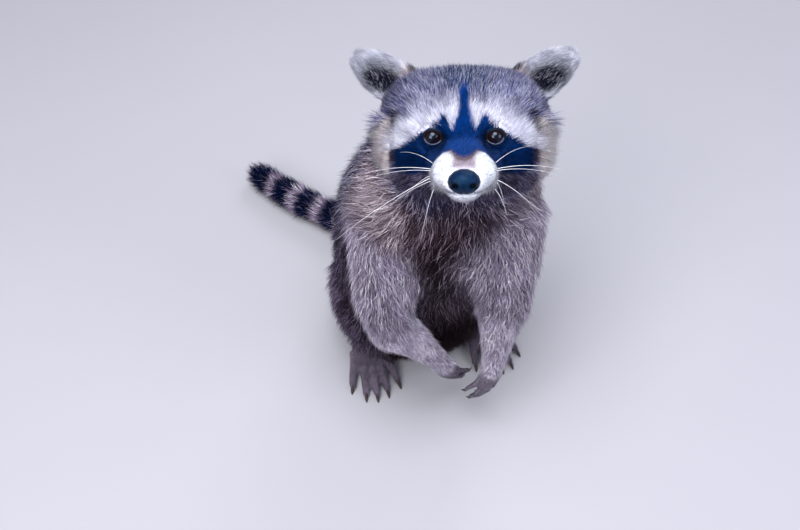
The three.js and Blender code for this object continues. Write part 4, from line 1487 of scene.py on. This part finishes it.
def tuft_solids(lines, normal, width, shades, flat):
    """One closed, tapering, three-sided solid along each line: vertices, triangles, colours and map places."""
    rings, count = len(lines) - 1, len(lines[0])
    size = rings * TUFT_SIDES + 1
    points = np.empty((count, size, 3))
    colours = np.empty((count, size, 3))
    for ring in range(rings):
        heading = unit(lines[ring + 1] - lines[ring])
        across = unit(np.cross(normal, heading))
        up = np.cross(heading, across)
        girth = (width * TUFT_GIRTHS[rings][ring] / 2)[:, None]
        for k, angle in enumerate(TUFT_ANGLES):
            offset = across * math.cos(angle) + up * math.sin(angle) * TUFT_FLATNESS
            points[:, ring * TUFT_SIDES + k] = lines[ring] + offset * girth
            colours[:, ring * TUFT_SIDES + k] = shades[ring]
    points[:, -1] = lines[-1]
    colours[:, -1] = shades[-1]
    points[:, :, 2] = np.maximum(points[:, :, 2], FLOOR_GAP * MM)
    one = [(0, 2, 1)]
    for ring in range(rings):
        for k in range(TUFT_SIDES):
            a, b = ring * TUFT_SIDES + k, ring * TUFT_SIDES + (k + 1) % TUFT_SIDES
            if ring == rings - 1:
                one.append((a, b, size - 1))
            else:
                one += [(a, b, b + TUFT_SIDES), (a, b + TUFT_SIDES, a + TUFT_SIDES)]
    faces = (np.array(one)[None] + np.arange(count)[:, None, None] * size).reshape(-1, 3)
    ring_of = np.minimum(np.arange(size) // TUFT_SIDES, rings)
    spot = np.stack([(np.arange(size) % TUFT_SIDES) / 2 - 0.5, ring_of / rings - 0.5], axis=1) * PATCH
    maps = np.clip(flat, PATCH, 1 - PATCH)[:, None] + spot[None]
    return points.reshape(-1, 3), faces, np.clip(colours, 0, 1).reshape(-1, 3), maps.reshape(-1, 2)


def tuft_shades(looks, layer, patch, draw):
    """Colours of a layer's tufts at each ring and at the tip."""
    count = len(looks)
    pale = draw.random(count) < looks[:, SHARE]
    tip = np.where(pale[:, None], looks[:, PALE], looks[:, OVER])
    tip = tip * (1 - layer.dull) + looks[:, UNDER] * layer.dull
    tone = np.exp(draw.normal(0, TONE_OF_HAIR, count) + TONE_OF_PATCH * patch)[:, None]
    # the root darker: partly the hair's own dark base, partly painted shade between the locks
    root = looks[:, UNDER] * layer.root
    if layer.rings == 1:
        return [root * tone, tip * tone]
    middle = looks[:, UNDER] * 0.35 + tip * 0.65
    return [root * tone, middle * tone, tip * tone]


def grow_layer(layer, fleece, corners, areas, flat, draw):
    """One layer of a piece of the coat, as the arrays that tuft_solids gives."""
    counts = PELT[layer.count][corners].mean(axis=1) * sizes().coat_density
    faces, spots = roots_on(areas, counts, draw)
    corner = corners[faces]

    def at_roots(values):
        return np.einsum("nk,nk...->n...", spots, values[corner])

    keep = draw.random(len(faces)) > at_roots(PELT["bare"])
    faces, spots, corner = faces[keep], spots[keep], corner[keep]
    root, normal = at_roots(PELT["points"]), unit(at_roots(PELT["normals"]))
    wander = at_roots(PELT["wander"]) * WANDER_OF_PATCH + draw.normal(0, WANDER_OF_HAIR, len(root))
    turn = (np.radians(at_roots(PELT["ruffle"])) * wander * sizes().coat_ruffle)[:, None]
    along = flattened(at_roots(PELT["lay_along"]), normal)
    along = along * np.cos(turn) + np.cross(normal, along) * np.sin(turn)
    reach = at_roots(PELT["length"]) * layer.reach * sizes().coat_length * MM * draw.uniform(0.7, 1.2, len(root))
    width = at_roots(PELT[layer.width]) * MM * draw.uniform(0.75, 1.25, len(root))
    lift = np.radians(at_roots(PELT["lift"]) * draw.uniform(0.7, 1.35, len(root)))
    lie = np.radians(at_roots(PELT["lie"]) * draw.uniform(0.3, 1.8, len(root)))
    bend = draw.normal(0, BEND, len(root))
    sway = draw.normal(0, SWAY, len(root)) * (layer.rings > 1)
    lines = tuft_lines(root, normal, along, reach, lift, lie, bend, sway, layer.rings)
    lines = gathered(lines, fleece.lock, fleece.gather)
    shares = at_roots(PELT["shares"])
    weights = by_region(shares)
    shown = root + along * (SHOWN * reach[:, None] + draw.normal(0, 0.5 * MM, (len(root), 1)))
    looks = markings(shown, normal, weights)
    places = np.einsum("nk,nkd->nd", spots, flat[faces])
    return tuft_solids(lines, normal, width, tuft_shades(looks, layer, at_roots(PELT["patch"]), draw), places)


def grow_coat(name, fleece, corners, areas, hair):
    """Grows one piece of the coat on its faces of the skin."""
    draw = np.random.default_rng(SEED + sorted(FLEECES).index(name) * 7)
    flat = unwrapped(corners)
    grown_layers = [grow_layer(layer, fleece, corners, areas, flat, draw) for layer in fleece.layers]
    starts = np.cumsum([0] + [len(made[0]) for made in grown_layers])
    faces = np.concatenate([made[1] + start for made, start in zip(grown_layers, starts)])
    mesh = mesh_of(name, np.concatenate([made[0] for made in grown_layers]), faces)
    paint(mesh, "coat", np.concatenate([made[2] for made in grown_layers]))
    maps = np.concatenate([made[3] for made in grown_layers])
    layer = mesh.uv_layers.new(name="OFBake")
    layer.data.foreach_set("uv", maps[faces.ravel()].astype(np.float32).ravel())
    mesh.materials.append(hair)
    piece = new_piece(name, mesh)
    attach(piece, "root")


class RACCOON_OT_coat(bpy.types.Operator):
    """Grows the coat: overlapping tapering tufts that lie along the body, in one piece for each region"""

    bl_idname = "raccoon.coat"
    bl_label = "Coat"

    def execute(self, context):
        if "skin" not in PELT:
            raise RuntimeError("make the skin before the coat")
        mesh = PELT["skin"].data
        draw = np.random.default_rng(SEED)
        net = PELT["net"]
        for field, steps in WAVES.items():
            waves = net.smoothed(draw.normal(0, 1, (len(PELT["points"]), 1)), steps)[:, 0]
            PELT[field] = waves / waves.std()
        for column in ("length", "guards", "guard_width", "downs", "down_width", "lift", "lie", "ruffle"):
            PELT[column] = cover_field(PELT["shares"], column)
        rim = rim_of_face(within(PELT["points"], HEAD_FRAME))
        PELT["length"] = PELT["length"] + rim * (RUFF_LENGTH - PELT["length"]) * (PELT["length"] < RUFF_LENGTH)
        PELT["lift"] = PELT["lift"] + RUFF_LIFT * rim
        mesh.calc_loop_triangles()
        corners = np.empty(len(mesh.loop_triangles) * 3, np.int32)
        mesh.loop_triangles.foreach_get("vertices", corners)
        corners = corners.reshape(-1, 3)
        a, b, c = (PELT["points"][corners[:, k]] for k in range(3))
        cross = np.cross(b - a, c - a)
        areas = np.linalg.norm(cross, axis=1) / 2 * SQUARE_CM
        piece_of = fleece_of_faces(corners, (a + b + c) / 3, unit(cross))
        hair = coat_material()
        for name, fleece in FLEECES.items():
            mine = piece_of == name
            grow_coat(name, fleece, corners[mine], areas[mine], hair)
        return {"FINISHED"}


# ---------- stage ----------

CAMERA_AT = (-0.01982, -0.66483, 0.86747)
CAMERA_PITCH = 40  # degrees up from straight down
LENS, SENSOR = 50, 36  # mm
FLOOR_SIZE = 8
FLOOR_DROP = 0.0005  # under the animal's lowest points
AIR, AIR_STRENGTH = (0.78, 0.84, 1.0), 0.42
# Each light: its name, where it hangs, what it faces, its width, its watts and its colour.
LIGHTS = [
    ("overhead", (-0.14, -0.4, 1.62), (0.0, -0.06, 0.2), 1.1, 33, (0.94, 0.97, 1.0)),
    ("key", (-0.7, -1.1, 1.15), (0, -0.05, 0.2), 0.9, 15, (1.0, 0.98, 0.98)),
    ("fill", (1.15, -0.75, 0.95), (0, -0.05, 0.2), 0.9, 9, (0.9, 0.95, 1.0)),
    ("rim", (0.5, 1.2, 1.3), (0, -0.05, 0.2), 0.9, 10, (0.98, 0.97, 1.0)),
]


def area_light(name, where, target, size, watts, rgb):
    light = bpy.data.lights.new(name, "AREA")
    light.shape = "DISK"
    light.size = size
    light.energy = watts
    light.color = rgb
    lamp = bpy.data.objects.new(name, light)
    bpy.context.scene.collection.objects.link(lamp)
    lamp.location = where
    lamp.rotation_euler = (Vector(target) - Vector(where)).to_track_quat("-Z", "Y").to_euler()


class RACCOON_OT_stage(bpy.types.Operator):
    """Sets the camera, the pale floor and the soft studio light"""

    bl_idname = "raccoon.stage"
    bl_label = "Stage"

    def execute(self, context):
        none_selected()
        bpy.ops.mesh.primitive_plane_add(size=FLOOR_SIZE, location=(0, 0, -FLOOR_DROP))
        floor = context.object
        floor.name = "studio_floor"
        floor.data.materials.append(floor_material())
        for light in LIGHTS:
            area_light(*light)
        world = bpy.data.worlds.new("studio_air")
        world.use_nodes = True
        air = world.node_tree.nodes["Background"]
        air.inputs["Color"].default_value = opaque(AIR)
        air.inputs["Strength"].default_value = AIR_STRENGTH
        context.scene.world = world
        context.scene.view_settings.view_transform = "Standard"
        camera_data = bpy.data.cameras.new("camera")
        camera_data.lens = LENS
        camera_data.sensor_width = SENSOR
        camera = bpy.data.objects.new("camera", camera_data)
        camera.location = CAMERA_AT
        camera.rotation_euler = (math.radians(CAMERA_PITCH), 0, 0)
        context.scene.collection.objects.link(camera)
        context.scene.camera = camera
        return {"FINISHED"}


# ---------- panel and registration ----------


class RACCOON_PT_panel(bpy.types.Panel):
    """Lists the raccoon's pieces, sizes and colours"""

    bl_idname = "RACCOON_PT_panel"
    bl_label = "Raccoon"
    bl_space_type = "VIEW_3D"
    bl_region_type = "UI"
    bl_category = "Raccoon"

    def draw(self, context):
        for operator in OPERATORS:
            self.layout.operator(operator.bl_idname)
        for group in (context.scene.raccoon_sizes, context.scene.raccoon_colours):
            box = self.layout.box()
            for name in group.__annotations__:
                box.prop(group, name)


OPERATORS = [
    RACCOON_OT_stage, RACCOON_OT_skin, RACCOON_OT_eyes, RACCOON_OT_nose, RACCOON_OT_claws, RACCOON_OT_whiskers,
    RACCOON_OT_coat,
]
CLASSES = [RaccoonSizes, RaccoonColours, *OPERATORS, RACCOON_PT_panel]


def register():
    for made in CLASSES:
        bpy.utils.register_class(made)
    bpy.types.Scene.raccoon_sizes = PointerProperty(type=RaccoonSizes)
    bpy.types.Scene.raccoon_colours = PointerProperty(type=RaccoonColours)


def unregister():
    del bpy.types.Scene.raccoon_colours
    del bpy.types.Scene.raccoon_sizes
    for made in reversed(CLASSES):
        bpy.utils.unregister_class(made)


def main():
    register()
    bpy.ops.raccoon.stage()
    bpy.ops.raccoon.skin()
    bpy.ops.raccoon.eyes()
    bpy.ops.raccoon.nose()
    bpy.ops.raccoon.claws()
    bpy.ops.raccoon.whiskers()
    bpy.ops.raccoon.coat()


if __name__ == "__main__":
    main()
